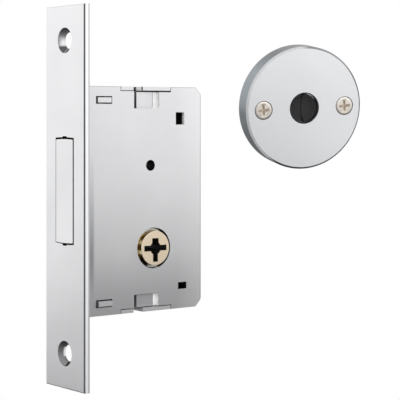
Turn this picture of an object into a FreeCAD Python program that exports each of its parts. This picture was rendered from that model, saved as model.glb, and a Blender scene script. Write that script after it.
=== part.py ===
"""Auxiliary mortise door lock with a cross-key rotor, and its loose round key rose.

Frame: millimetres. The origin lies on the back face of the faceplate, which seats in the
door's recess, midway between its two fixing screws. +X runs into the door, +Y to the hidden
side of the case, +Z up. The sizes count from the faceplate's front face, as such locks are
measured, and the last step moves all pieces back by the plate's thickness.
The bolt is drawn back flush with the faceplate, as the lock lies on a bench.
"""
import FreeCAD
import Part
import Sketcher
import math
import os

doc = FreeCAD.newDocument("auxiliary_lock")
sheet = doc.addObject("Spreadsheet::Sheet", "dims")

# Driving sizes, each written once: name, value, what it is
SIZES = [
    ("plate_width", 22.0, "faceplate across Y"),
    ("plate_height", 119.2, "faceplate along Z"),
    ("plate_thick", 2.0, "faceplate along X"),
    ("plate_bevel", 0.35, "bevel round the faceplate front"),
    ("screw_pitch", 97.4, "between the two fixing screws"),
    ("screw_hole_dia", 5.2, "fixing screw hole"),
    ("screw_head_dia", 8.0, "countersink at the front face"),
    ("window_width", 10.4, "bolt window across Y"),
    ("window_height", 32.6, "bolt window along Z at its sides"),
    ("window_centre", 1.9, "bolt window centre above the origin"),
    ("window_arch", 0.22, "rise of the arched top and bottom"),
    ("relief_width", 2.3, "relief notch in the arched edges"),
    ("relief_depth", 0.5, "relief notch beyond the arch"),
    ("bolt_gap", 0.25, "play of the bolt in its windows"),
    ("case_thick", 14.0, "case across Y, outside"),
    ("case_top", 34.5, "top of the case above the origin"),
    ("case_drop", 37.0, "bottom of the case below the origin"),
    ("case_rear", 49.0, "rear of the case behind the front face"),
    ("wall", 1.2, "sheet of the case"),
    ("corner_cut", 3.0, "slanted rear corners of the case"),
    ("rear_bend", 1.5, "outer radius of the bend at the rear"),
    ("notch_start", 16.3, "edge notch, front end"),
    ("notch_end", 36.1, "edge notch, rear end"),
    ("notch_depth", 1.45, "edge notch into the cover"),
    ("tongue_gap", 0.2, "play of a wall tongue in its notch"),
    ("tongue_slot_start", 21.3, "slot in the wall tongue, front end"),
    ("tongue_slot_width", 3.6, "slot in the wall tongue"),
    ("tongue_slot_depth", 8.0, "slot in the wall tongue across Y"),
    ("pocket_start", 21.5, "pressed pocket, front end inside its wall"),
    ("pocket_end", 31.1, "pressed pocket, rear end"),
    ("pocket_fall", 6.9, "top pressed pocket, reach from the case edge"),
    ("pocket_rise", 5.6, "bottom pressed pocket, reach from the case edge"),
    ("pocket_depth", 1.45, "pressed pocket into the case"),
    ("pocket_slit", 1.95, "open slit at the pocket's front end"),
    ("slot_start", 7.0, "lug slot, front end"),
    ("slot_length", 6.1, "lug slot along X"),
    ("slot_height", 2.4, "lug slot along Z"),
    ("lug_length", 5.1, "bracket lug along X"),
    ("lug_thick", 1.6, "bracket sheet"),
    ("top_lug_proud", 0.4, "top lug beyond the cover"),
    ("low_lug_proud", 0.9, "bottom lug beyond the cover"),
    ("top_lug_z", 30.2, "middle of the top lug"),
    ("low_lug_z", 33.2, "middle of the bottom lug below the origin"),
    ("window_play", 0.1, "bracket window over the faceplate window"),
    ("hatch_x", 38.0, "upper square hole, front end"),
    ("hatch_length", 3.5, "upper square hole along X"),
    ("hatch_z", 22.4, "upper square hole, lower edge"),
    ("hatch_height", 4.0, "upper square hole along Z"),
    ("port_x", 38.9, "lower square hole, front end"),
    ("port_length", 3.4, "lower square hole along X"),
    ("port_z", 30.8, "lower square hole, lower edge below the origin"),
    ("port_height", 2.2, "lower square hole along Z"),
    ("post_x", 27.9, "guide post behind the front face"),
    ("post_z", 9.45, "guide post above the origin"),
    ("post_bore", 3.5, "hole through the guide post"),
    ("post_dia", 5.0, "guide post outside"),
    ("axis_x", 29.2, "key rotor axis behind the front face"),
    ("axis_drop", 16.94, "key rotor axis below the origin"),
    ("rotor_dia", 11.0, "key rotor"),
    ("rotor_proud", 0.9, "key rotor beyond the case on both sides"),
    ("rotor_hole_dia", 13.0, "case hole round the rotor"),
    ("rotor_play", 0.05, "running play round the rotor"),
    ("key_core_dia", 3.7, "round middle of the keyway"),
    ("key_top", 3.1, "top arm of the keyway, from the axis"),
    ("key_low", 4.3, "bottom arm of the keyway, from the axis"),
    ("key_side", 4.3, "side arms of the keyway, from the axis"),
    ("key_top_width", 2.4, "top arm across"),
    ("key_low_width", 1.5, "bottom arm across"),
    ("key_side_width", 1.65, "side arms across"),
    ("throw", 14.0, "travel of the bolt"),
    ("swing", 40.0, "cam either side of upright, degrees"),
    ("cam_tip", 1.5, "radius of the cam finger's tip"),
    ("cam_neck", 0.9, "half width of the cam finger's neck"),
    ("cam_ring", 6.6, "radius of the cam's ring"),
    ("cam_thick", 2.4, "cam along Y"),
    ("lug_inside", 1.7, "set-screw lug inside the studs' circle"),
    ("cam_root", 0.7, "finger and lug let into the cam's ring"),
    ("cam_play", 0.4, "play of the finger in the tail's notch"),
    ("cam_bore_play", 0.02, "cam ring over the rotor"),
    ("grub_dia", 2.5, "set-screw lug, half its width"),
    ("grub_screw_dia", 1.7, "set screw"),
    ("grub_sink", 0.2, "set screw below the lug's end"),
    ("housing_dia", 22.0, "pin housing"),
    ("plane_gap", 3.2, "gap between the housing halves"),
    ("pin_dia", 2.0, "lock pins"),
    ("pin_play", 0.05, "pins in their chambers, on the radius"),
    ("driver_part", 2.2, "driver pin's part of the room behind the rotor"),
    ("spring_part", 2.05, "pressed pin spring's part of that room"),
    ("cap_length", 0.8, "chamber caps"),
    ("spring_wire", 0.32, "pin spring wire"),
    ("spring_room", 0.15, "room left at each end of a coil spring"),
    ("spring_turns", 3.0, "turns of a pin spring"),
    ("stud_edge", 1.6, "housing studs inside the housing's rim"),
    ("stud_dia", 1.8, "housing stud in the halves"),
    ("stud_shoulder", 2.3, "housing stud between the halves"),
    ("head_front", 17.6, "full-height part of the bolt head along X"),
    ("head_back", 23.3, "upper part of the bolt head along X"),
    ("head_step", 4.9, "underside of the upper part below the origin"),
    ("tail_thick", 2.6, "bolt tail along Y"),
    ("tail_start", 8.0, "front end of the tail inside the head"),
    ("tail_end", 47.0, "rear end of the tail"),
    ("tail_top", 14.0, "top edge of the tail"),
    ("tail_play", 0.3, "tail over the cam ring, and slot round the post"),
    ("detent_x", 31.0, "detent notch with the bolt drawn back"),
    ("detent_depth", 1.2, "depth and half width of the detent notches"),
    ("rivet_dia", 3.0, "rivets through head and tail"),
    ("front_rivet_x", 12.0, "front rivet behind the front face"),
    ("front_rivet_z", 9.0, "front rivet above the origin"),
    ("rear_rivet_x", 19.5, "rear rivet behind the front face"),
    ("rear_rivet_z", 2.0, "rear rivet above the origin"),
    ("leaf_spring_thick", 0.5, "detent spring strip"),
    ("leaf_spring_width", 3.0, "detent spring across Y"),
    ("leaf_spring_foot", 10.0, "detent spring's foot under the top wall"),
    ("leaf_spring_rear", 45.6, "rear bend of the detent spring"),
    ("leaf_bend", 1.2, "outer bends of the detent spring"),
    ("leaf_drop", 3.7, "rear leg of the detent spring"),
    ("leaf_nose_gap", 0.25, "detent spring's nose above the notch's floor"),
    ("leaf_nose_thick", 0.65, "nose of the detent spring"),
    ("leaf_nose_front", 3.0, "nose's front ramp along X"),
    ("leaf_nose_rear", 3.8, "nose's rear ramp along X"),
    ("leaf_nose_rise", 2.2, "nose's ramps above the tail"),
    ("foot_rivet_dia", 2.0, "rivet of the detent spring"),
    ("foot_rivet_back", 5.0, "rivet in front of the rear bend"),
    ("foot_rivet_head", 0.7, "head of the rivet"),
    ("rose_dia", 43.0, "rose"),
    ("rose_thick", 7.5, "rose from face to back"),
    ("rose_wall", 1.6, "wall of the rose shell"),
    ("rose_bevel", 0.7, "bevel round the rose face"),
    ("rose_x", 94.6, "rose face centre behind the front face"),
    ("rose_y", -6.2, "rose face centre"),
    ("rose_z", 27.9, "rose face centre"),
    ("rose_turn_angle", -19.2, "rose turned about Z, degrees"),
    ("rose_roll_angle", -3.2, "rose turned in its own face, degrees"),
    ("rose_nod_angle", 8.2, "rose face tipped down, degrees"),
    ("rose_hole_dia", 11.0, "key hole in the rose"),
    ("rose_screw_pitch", 30.4, "between the two rose screws"),
    ("rose_head_dia", 6.4, "rose screw head"),
    ("rose_shank_dia", 3.5, "rose screw shank"),
    ("rose_screw_length", 12.0, "rose screw overall"),
    ("rose_neck_dia", 2.9, "rose screw neck under its head"),
    ("rose_neck_past", 0.5, "rose screw neck beyond the rose's back"),
    ("rose_head_sink", 0.05, "rose screw head below the rose face"),
    ("rose_head_play", 0.1, "rose screw head in its countersink"),
    ("screw_play", 0.15, "screw in its holes, on the radius"),
    ("shell_gap", 0.1, "inner rose pieces inside the shell"),
    ("ring_wall", 0.4, "black ring inside the key hole"),
    ("ring_sink", 0.25, "black ring below the rose face"),
    ("core_dia", 23.0, "shutter carrier"),
    ("leaf_dia", 10.0, "dished shutter, both leaves"),
    ("leaf_rim", 1.2, "depth of the dish at its rim"),
    ("leaf_centre", 3.1, "depth of the dish at its centre"),
    ("leaf_thick", 0.9, "wall of the leaves"),
    ("leaf_slope", 2.0, "slanted border of the dish along its radius"),
    ("leaf_seam", 0.21, "half the seam between the leaves"),
    ("leaf_axis_x", 6.5, "leaf hinge from the middle"),
    ("leaf_axis_depth", 2.85, "leaf hinge behind the face"),
    ("leaf_barrel_dia", 1.9, "leaf hinge barrel"),
    ("leaf_barrel_length", 5.2, "leaf hinge barrel"),
    ("leaf_pin_dia", 0.9, "leaf hinge pin"),
    ("leaf_pin_length", 12.4, "leaf hinge pin"),
    ("wing_reach", 4.1, "inner end of the leaf's wing from the middle"),
    ("wing_thick", 0.9, "wing between leaf and barrel"),
    ("leaf_spring_wire", 0.25, "leaf return spring wire"),
    ("leaf_spring_turns", 4.0, "leaf return spring turns"),
    ("leaf_pin_play", 0.05, "pin in the barrel, on the radius"),
    ("leaf_well_width", 16.0, "well behind the leaves along X"),
    ("leaf_well_height", 10.8, "well behind the leaves along Z"),
    ("back_thick", 1.2, "rose back plate"),
    ("arm_half_height", 4.2, "carrier arms round the rose screws"),
    ("arm_beyond", 3.4, "carrier arms past the rose screws"),
]
for row, (alias, value, note) in enumerate(SIZES, start=1):
    sheet.set("A%d" % row, note)
    sheet.set("B%d" % row, repr(value))
    sheet.setAlias("B%d" % row, alias)

# Sizes that follow from the driving ones
FITS = [
    ("side", "case_thick / 2"),
    ("inner_side", "case_thick / 2 - wall"),
    ("bolt_width", "window_width - 2 * bolt_gap"),
    ("bolt_height", "window_height - 2 * bolt_gap"),
    ("window_top", "window_centre + window_height / 2"),
    ("window_low", "window_centre - window_height / 2"),
    ("bolt_top", "window_top - bolt_gap"),
    ("bolt_low", "window_low + bolt_gap"),
    ("bolt_arch", "window_arch * bolt_width / window_width"),
    ("rear_start", "case_rear - corner_cut"),
    ("rear_top", "case_top - corner_cut"),
    ("rear_low", "corner_cut - case_drop"),
    ("slant_run", "wall * (sqrt(2) - 1)"),
    ("slant_face", "wall * sqrt(2)"),
    ("rotor_r", "rotor_dia / 2"),
    ("rotor_end", "side + rotor_proud"),
    ("pin_y", "(inner_side + plane_gap / 2) / 2"),
    ("chamber_dia", "pin_dia + 2 * pin_play"),
    ("driver_start", "rotor_r + 2 * rotor_play"),
    ("cap_start", "housing_dia / 2 - cap_length - rotor_play"),
    ("pin_room", "cap_start - 2 * spring_room - driver_start"),
    ("driver_length", "pin_room * driver_part / (driver_part + spring_part)"),
    ("spring_length", "pin_room - driver_length"),
    ("cam_reach", "throw / 2 / sin(swing * 1deg)"),
    ("stud_radius", "housing_dia / 2 - stud_edge"),
    ("cam_lug", "stud_radius - lug_inside"),
    ("tail_low", "cam_ring + tail_play - axis_drop"),
    ("notch_x", "axis_x + throw / 2"),
    ("notch_half", "cam_tip + cam_play"),
    ("notch_roof", "cam_reach + cam_tip + cam_play - axis_drop"),
    ("post_slot_half", "post_dia / 2 + tail_play"),
    ("lug_start", "slot_start + (slot_length - lug_length) / 2"),
    ("lug_end", "lug_start + lug_length"),
    ("rose_r", "rose_dia / 2"),
    ("shell_inner", "rose_r - rose_wall"),
    ("back_start", "rose_thick - back_thick"),
    ("ring_inner", "rose_hole_dia / 2 - ring_wall"),
    ("well_half", "leaf_well_width / 2"),
    ("foot_level", "case_top - wall"),
    ("nose_high", "tail_top + leaf_nose_rise"),
    ("nose_low", "tail_top - detent_depth + leaf_nose_gap"),
    ("foot_rivet_x", "leaf_spring_rear - foot_rivet_back"),
]
first = len(SIZES) + 1
for row, (alias, formula) in enumerate(FITS, start=first):
    sheet.set("A%d" % row, "follows")
    sheet.set("B%d" % row, "=" + formula)
    sheet.setAlias("B%d" % row, alias)
doc.recompute()

PIN_FACES = 8
NAMES = [entry[0] for entry in SIZES] + [entry[0] for entry in FITS]
parts = []


def size(alias):
    """A size as a number, for shapes made in code."""
    value = getattr(sheet, alias)
    return float(getattr(value, "Value", value))


def linked(text):
    """An expression with every size name pointed at the sheet."""
    out = ""
    word = ""
    for letter in text + " ":
        if letter.isalnum() or letter == "_":
            word += letter
            continue
        out += ("dims." + word if word in NAMES else word) + letter
        word = ""
    return out.strip()


def bind(thing, prop, text):
    thing.setExpression(prop, linked(str(text)))


def new_body(label):
    thing = doc.addObject("PartDesign::Body", label)
    thing.Label = label
    return thing


def keep(thing, label=None):
    """Marks an object as one of the sub-parts."""
    if label:
        thing.Label = label
    parts.append(thing)
    return thing


def sketch_on(body, role, offset="0"):
    """A sketch on one of the body's own origin planes, moved along the plane's normal."""
    plane = [p for p in body.Origin.OriginFeatures if p.Role == role][0]
    drawing = body.newObject("Sketcher::SketchObject", "outline")
    drawing.AttachmentSupport = [(plane, "")]
    drawing.MapMode = "FlatFace"
    bind(drawing, "AttachmentOffset.Base.z", offset)
    return drawing


def fix_point(drawing, geo, pos, across, up, near_to=(1.0, 1.0)):
    """Holds a point of the drawing at two distances from its origin."""
    index = drawing.addConstraint(Sketcher.Constraint("DistanceX", -1, 1, geo, pos, near_to[0]))
    bind(drawing, "Constraints[%d]" % index, across)
    index = drawing.addConstraint(Sketcher.Constraint("DistanceY", -1, 1, geo, pos, near_to[1]))
    bind(drawing, "Constraints[%d]" % index, up)


def polygon(drawing, corners):
    """A closed outline whose corners are held by expressions."""
    count = len(corners)
    base = drawing.GeometryCount
    seeds = []
    for i in range(count):
        turn = 2 * math.pi * i / count
        seeds.append(FreeCAD.Vector(20 * math.cos(turn), 20 * math.sin(turn), 0))
    for i in range(count):
        drawing.addGeometry(Part.LineSegment(seeds[i], seeds[(i + 1) % count]), False)
    for i in range(count):
        follow = base + (i + 1) % count
        drawing.addConstraint(Sketcher.Constraint("Coincident", base + i, 2, follow, 1))
    for i, (across, up) in enumerate(corners):
        fix_point(drawing, base + i, 1, across, up)
    return drawing


def rectangle(drawing, left, low, right, top):
    return polygon(drawing, [(left, low), (right, low), (right, top), (left, top)])


def circle(drawing, across, up, radius):
    shape = Part.Circle(FreeCAD.Vector(1, 1, 0), FreeCAD.Vector(0, 0, 1), 2)
    geo = drawing.addGeometry(shape, False)
    fix_point(drawing, geo, 3, across, up)
    index = drawing.addConstraint(Sketcher.Constraint("Radius", geo, 2.0))
    bind(drawing, "Constraints[%d]" % index, radius)
    return drawing


def few_sided(drawing, across, up, radius):
    """The outline of a small hidden pin, or of its hole: a circle's corners joined by flats."""
    corners = []
    for i in range(PIN_FACES):
        way = 360 / PIN_FACES * i
        corners.append(("%s + (%s) * cos(%gdeg)" % (across, radius, way), "%s + (%s) * sin(%gdeg)" % (up, radius, way)))
    return polygon(drawing, corners)


def pad(body, drawing, length, reverse=False, midplane=False):
    feature = body.newObject("PartDesign::Pad", "pad")
    feature.Profile = drawing
    bind(feature, "Length", length)
    feature.Reversed = reverse
    feature.Midplane = midplane
    drawing.Visibility = False
    return feature


def pocket(body, drawing, length, reverse=False, midplane=False):
    feature = body.newObject("PartDesign::Pocket", "pocket")
    feature.Profile = drawing
    bind(feature, "Length", length)
    feature.Reversed = reverse
    feature.Midplane = midplane
    drawing.Visibility = False
    return feature


def revolve(body, drawing, axis="V_Axis"):
    feature = body.newObject("PartDesign::Revolution", "turned")
    feature.Profile = drawing
    feature.ReferenceAxis = (drawing, [axis])
    feature.Angle = 360
    drawing.Visibility = False
    return feature


def edges_where(shape, rule):
    """Names of the edges that the rule picks."""
    return ["Edge%d" % i for i, edge in enumerate(shape.Edges, start=1) if rule(edge)]


def dress(body, kind, rule, amount):
    """Fillets or chamfers the picked edges of the body's last feature."""
    doc.recompute()
    base = body.Tip
    feature = body.newObject("PartDesign::" + kind, kind.lower())
    feature.Base = (base, edges_where(base.Shape, rule))
    bind(feature, "Radius" if kind == "Fillet" else "Size", amount)
    return feature


def near(value, other):
    return abs(value - other) < 0.001


def straight(edge):
    return edge.Curve.TypeId == "Part::GeomLine"


def round_edge(edge, radius):
    return edge.Curve.TypeId == "Part::GeomCircle" and near(edge.Curve.Radius, radius)


def level_at(edge, axis, place):
    """Whether the whole edge lies at one place along an axis."""
    box = edge.BoundBox
    low, high = {"X": (box.XMin, box.XMax), "Y": (box.YMin, box.YMax), "Z": (box.ZMin, box.ZMax)}[axis]
    return near(low, place) and near(high, place)


def disc(label, across, up, outer, bore, start, length, outline=circle):
    """A round piece lying along Y: start is measured towards -Y, length towards +Y."""
    body = new_body(label)
    drawing = sketch_on(body, "XZ_Plane", start)
    outline(drawing, across, up, outer)
    if bore:
        outline(drawing, across, up, bore)
    pad(body, drawing, length, reverse=True)
    return body


def group(label, members):
    thing = doc.addObject("Part::Compound", label)
    thing.Links = members
    return keep(thing, label)


def arched(drawing, half, low, high, rise):
    """A tall outline with straight sides and slightly arched ends."""
    h, z0, z1, s = (value_of(text) for text in (half, low, high, rise))
    base = drawing.GeometryCount
    vec = FreeCAD.Vector
    drawing.addGeometry(Part.LineSegment(vec(h, z0, 0), vec(h, z1, 0)), False)
    drawing.addGeometry(Part.LineSegment(vec(-h, z1, 0), vec(-h, z0, 0)), False)
    drawing.addGeometry(Part.Arc(vec(h, z1, 0), vec(0, z1 + s, 0), vec(-h, z1, 0)), False)
    drawing.addGeometry(Part.Arc(vec(-h, z0, 0), vec(0, z0 - s, 0), vec(h, z0, 0)), False)
    fix_point(drawing, base, 1, half, low, (h, z0))
    fix_point(drawing, base, 2, half, high, (h, z1))
    fix_point(drawing, base + 1, 1, "-(%s)" % half, high, (-h, z1))
    fix_point(drawing, base + 1, 2, "-(%s)" % half, low, (-h, z0))
    for arc, ends in ((base + 2, ((1, base, 2), (2, base + 1, 1))), (base + 3, ((1, base + 1, 2), (2, base, 1)))):
        for pos, line, line_pos in ends:
            drawing.addConstraint(Sketcher.Constraint("Coincident", arc, pos, line, line_pos))
        radius = drawing.Geometry[arc].Radius
        index = drawing.addConstraint(Sketcher.Constraint("Radius", arc, radius))
        bind(drawing, "Constraints[%d]" % index, "((%s)^2 + (%s)^2) / (2 * (%s))" % (half, rise, rise))
    return drawing


def value_of(text):
    """The present value of an expression, read back through a scratch cell."""
    sheet.set("D1", "=" + text)
    sheet.recompute()
    value = sheet.get("D1")
    return float(getattr(value, "Value", value))


# Faceplate: a flat bar with two countersunk screw holes and the bolt window
faceplate = keep(new_body("faceplate"))
drawing = sketch_on(faceplate, "YZ_Plane")
rectangle(drawing, "-plate_width / 2", "-plate_height / 2", "plate_width / 2", "plate_height / 2")
pad(faceplate, drawing, "plate_thick")
drawing = sketch_on(faceplate, "YZ_Plane")
arched(drawing, "window_width / 2", "window_low", "window_top", "window_arch")
pocket(faceplate, drawing, "plate_thick", reverse=True)
drawing = sketch_on(faceplate, "YZ_Plane")
reach = "window_arch + relief_depth"
rectangle(drawing, "-relief_width / 2", "window_low - " + reach.replace("+", "-"),
          "relief_width / 2", "window_top + " + reach)
pocket(faceplate, drawing, "plate_thick", reverse=True)
drawing = sketch_on(faceplate, "YZ_Plane")
circle(drawing, "0", "screw_pitch / 2", "screw_hole_dia / 2")
circle(drawing, "0", "-screw_pitch / 2", "screw_hole_dia / 2")
pocket(faceplate, drawing, "plate_thick", reverse=True)
dress(faceplate, "Chamfer",
      lambda e: round_edge(e, size("screw_hole_dia") / 2) and level_at(e, "X", 0),
      "(screw_head_dia - screw_hole_dia) / 2")
dress(faceplate, "Chamfer",
      lambda e: straight(e) and level_at(e, "X", 0)
      and (level_at(e, "Y", size("plate_width") / 2) or level_at(e, "Y", -size("plate_width") / 2)
           or level_at(e, "Z", size("plate_height") / 2) or level_at(e, "Z", -size("plate_height") / 2)),
      "plate_bevel")

# Front bracket: a channel behind the faceplate whose lugs hook through both case sides
bracket = keep(new_body("front_bracket"))
drawing = sketch_on(bracket, "YZ_Plane", "plate_thick")
rectangle(drawing, "-inner_side", "-low_lug_z - lug_thick / 2", "inner_side", "top_lug_z + lug_thick / 2")
pad(bracket, drawing, "lug_thick")
for middle, proud in (("top_lug_z", "top_lug_proud"), ("-low_lug_z", "low_lug_proud")):
    drawing = sketch_on(bracket, "XZ_Plane")
    rectangle(drawing, "plate_thick", middle + " - lug_thick / 2", "lug_end", middle + " + lug_thick / 2")
    pad(bracket, drawing, "2 * inner_side", midplane=True)
    drawing = sketch_on(bracket, "XZ_Plane", "side + " + proud)
    rectangle(drawing, "lug_start", middle + " - lug_thick / 2", "lug_end", middle + " + lug_thick / 2")
    pad(bracket, drawing, "2 * side + " + proud, reverse=True)
drawing = sketch_on(bracket, "YZ_Plane", "plate_thick")
rectangle(drawing, "-window_width / 2 - window_play", "window_low - window_arch - relief_depth",
          "window_width / 2 + window_play", "window_top + window_arch + relief_depth")
pocket(bracket, drawing, "lug_thick", reverse=True)

SIDE_OUTLINE = [("plate_thick", "-case_drop"), ("rear_start", "-case_drop"), ("case_rear", "rear_low"),
                ("case_rear", "rear_top"), ("rear_start", "case_top"), ("plate_thick", "case_top")]


def side_holes(body, start):
    """The openings that both sides of the case share."""
    drawing = sketch_on(body, "XZ_Plane", start)
    for middle in ("top_lug_z", "-low_lug_z"):
        rectangle(drawing, "slot_start", middle + " - slot_height / 2",
                  "slot_start + slot_length", middle + " + slot_height / 2")
    circle(drawing, "post_x", "post_z", "post_bore / 2")
    circle(drawing, "axis_x", "-axis_drop", "rotor_hole_dia / 2")
    return drawing


# Case cover: the visible side, folded round the rear, with its two pressed pockets
cover = keep(new_body("case_cover"))
drawing = sketch_on(cover, "XZ_Plane", "side")
rectangle(drawing, "plate_thick", "-case_drop", "case_rear", "case_top")
pad(cover, drawing, "wall", reverse=True)
drawing = sketch_on(cover, "XZ_Plane", "side")
rectangle(drawing, "case_rear - wall", "-case_drop", "case_rear", "case_top")
pad(cover, drawing, "side + inner_side", reverse=True)
dress(cover, "Fillet",
      lambda e: straight(e) and level_at(e, "X", size("case_rear")) and level_at(e, "Y", -size("side")),
      "rear_bend")
drawing = sketch_on(cover, "XZ_Plane")
polygon(drawing, [("rear_start", "case_top"), ("case_rear", "rear_top"), ("case_rear + 1", "case_top + 1")])
polygon(drawing, [("rear_start", "-case_drop"), ("case_rear", "rear_low"), ("case_rear + 1", "-case_drop - 1")])
pocket(cover, drawing, "2 * case_thick", midplane=True)
drawing = sketch_on(cover, "XZ_Plane", "inner_side")
rectangle(drawing, "rear_start - 1", "rear_top", "case_rear + 1", "case_top + 1")
rectangle(drawing, "rear_start - 1", "-case_drop - 1", "case_rear + 1", "rear_low")
pocket(cover, drawing, "case_thick")
drawing = sketch_on(cover, "XZ_Plane", "inner_side")
rectangle(drawing, "pocket_start + pocket_slit", "case_top - pocket_fall - wall", "pocket_end + wall", "case_top - notch_depth")
rectangle(drawing, "pocket_start + pocket_slit", "notch_depth - case_drop", "pocket_end + wall", "pocket_rise + wall - case_drop")
pad(cover, drawing, "pocket_depth", reverse=True)
drawing = sketch_on(cover, "XZ_Plane", "side")
rectangle(drawing, "pocket_start", "case_top - pocket_fall", "pocket_end", "case_top")
rectangle(drawing, "pocket_start", "-case_drop", "pocket_end", "pocket_rise - case_drop")
pocket(cover, drawing, "pocket_depth")
drawing = sketch_on(cover, "XZ_Plane", "side")
rectangle(drawing, "notch_start", "case_top - notch_depth", "notch_end", "case_top + 1")
rectangle(drawing, "notch_start", "-case_drop - 1", "notch_end", "notch_depth - case_drop")
pocket(cover, drawing, "wall")
drawing = side_holes(cover, "side")
rectangle(drawing, "hatch_x", "hatch_z", "hatch_x + hatch_length", "hatch_z + hatch_height")
rectangle(drawing, "port_x", "-port_z", "port_x + port_length", "port_height - port_z")
pocket(cover, drawing, "wall")

# Case tray: the hidden side with the top and bottom walls folded from it
tray = keep(new_body("case_tray"))
drawing = sketch_on(tray, "XZ_Plane", "-inner_side")
polygon(drawing, SIDE_OUTLINE)
pad(tray, drawing, "wall", reverse=True)
drawing = sketch_on(tray, "XZ_Plane", "inner_side")
polygon(drawing, [("plate_thick", "case_top"), ("rear_start", "case_top"), ("case_rear", "rear_top"),
                  ("case_rear - slant_face", "rear_top"), ("rear_start - slant_run", "case_top - wall"),
                  ("plate_thick", "case_top - wall")])
polygon(drawing, [("plate_thick", "-case_drop"), ("rear_start", "-case_drop"), ("case_rear", "rear_low"),
                  ("case_rear - slant_face", "rear_low"), ("rear_start - slant_run", "wall - case_drop"),
                  ("plate_thick", "wall - case_drop")])
pad(tray, drawing, "2 * inner_side", reverse=True)
drawing = sketch_on(tray, "XZ_Plane", "side")
rectangle(drawing, "notch_start + tongue_gap", "case_top - wall", "notch_end - tongue_gap", "case_top")
rectangle(drawing, "notch_start + tongue_gap", "-case_drop", "notch_end - tongue_gap", "wall - case_drop")
pad(tray, drawing, "wall", reverse=True)
drawing = sketch_on(tray, "XZ_Plane", "side")
rectangle(drawing, "tongue_slot_start", "case_top - 2 * wall", "tongue_slot_start + tongue_slot_width", "case_top + 1")
rectangle(drawing, "tongue_slot_start", "-case_drop - 1", "tongue_slot_start + tongue_slot_width", "2 * wall - case_drop")
pocket(tray, drawing, "tongue_slot_depth")
drawing = side_holes(tray, "-inner_side")
pocket(tray, drawing, "wall")
dress(tray, "Fillet",
      lambda e: straight(e) and level_at(e, "Y", size("side"))
      and (level_at(e, "Z", size("case_top")) or level_at(e, "Z", -size("case_drop"))),
      "rear_bend * 0.75")

# Guide post: a hollow post between the two sides, open right through
keep(disc("guide_post", "post_x", "post_z", "post_dia / 2", "post_bore / 2", "inner_side", "2 * inner_side"))

# Bolt: the head that fills the window, and the tail plate let into it from the rear
head = keep(new_body("bolt_head"))
drawing = sketch_on(head, "YZ_Plane")
arched(drawing, "bolt_width / 2", "bolt_low", "bolt_top", "bolt_arch")
pad(head, drawing, "head_back")
drawing = sketch_on(head, "XZ_Plane")
rectangle(drawing, "head_front", "bolt_low - 2", "head_back + 1", "-head_step")
pocket(head, drawing, "bolt_width + 1", midplane=True)
drawing = sketch_on(head, "XZ_Plane")
rectangle(drawing, "tail_start", "tail_low", "head_back + 1", "tail_top")
pocket(head, drawing, "tail_thick", midplane=True)
RIVETS = [("front_rivet_x", "front_rivet_z"), ("rear_rivet_x", "rear_rivet_z")]
drawing = sketch_on(head, "XZ_Plane")
for across, up in RIVETS:
    circle(drawing, across, up, "rivet_dia / 2")
pocket(head, drawing, "bolt_width + 1", midplane=True)

tail = keep(new_body("bolt_tail"))
flare = "detent_depth"
far_notch = "detent_x + throw"
drawing = sketch_on(tail, "XZ_Plane")
polygon(drawing, [
    ("tail_start", "tail_low"),
    ("notch_x - notch_half - detent_depth", "tail_low"),
    ("notch_x - notch_half", "tail_low + detent_depth"),
    ("notch_x - notch_half", "notch_roof"),
    ("notch_x + notch_half", "notch_roof"),
    ("notch_x + notch_half", "tail_low + detent_depth"),
    ("notch_x + notch_half + detent_depth", "tail_low"),
    ("tail_end", "tail_low"),
    ("tail_end", "tail_top"),
    (far_notch + " + " + flare, "tail_top"),
    (far_notch, "tail_top - " + flare),
    (far_notch + " - " + flare, "tail_top"),
    ("detent_x + " + flare, "tail_top"),
    ("detent_x", "tail_top - " + flare),
    ("detent_x - " + flare, "tail_top"),
    ("tail_start", "tail_top")])
pad(tail, drawing, "tail_thick", midplane=True)
drawing = sketch_on(tail, "XZ_Plane")
circle(drawing, "post_x", "post_z", "post_slot_half")
pocket(tail, drawing, "tail_thick + 1", midplane=True)
drawing = sketch_on(tail, "XZ_Plane")
circle(drawing, "post_x + throw", "post_z", "post_slot_half")
pocket(tail, drawing, "tail_thick + 1", midplane=True)
drawing = sketch_on(tail, "XZ_Plane")
rectangle(drawing, "post_x", "post_z - post_slot_half", "post_x + throw", "post_z + post_slot_half")
pocket(tail, drawing, "tail_thick + 1", midplane=True)
drawing = sketch_on(tail, "XZ_Plane")
for across, up in RIVETS:
    circle(drawing, across, up, "rivet_dia / 2")
pocket(tail, drawing, "tail_thick + 1", midplane=True)

group("bolt_rivets", [disc("bolt_rivet", across, up, "rivet_dia / 2", "", "bolt_width / 2", "bolt_width")
                      for across, up in RIVETS])

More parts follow.
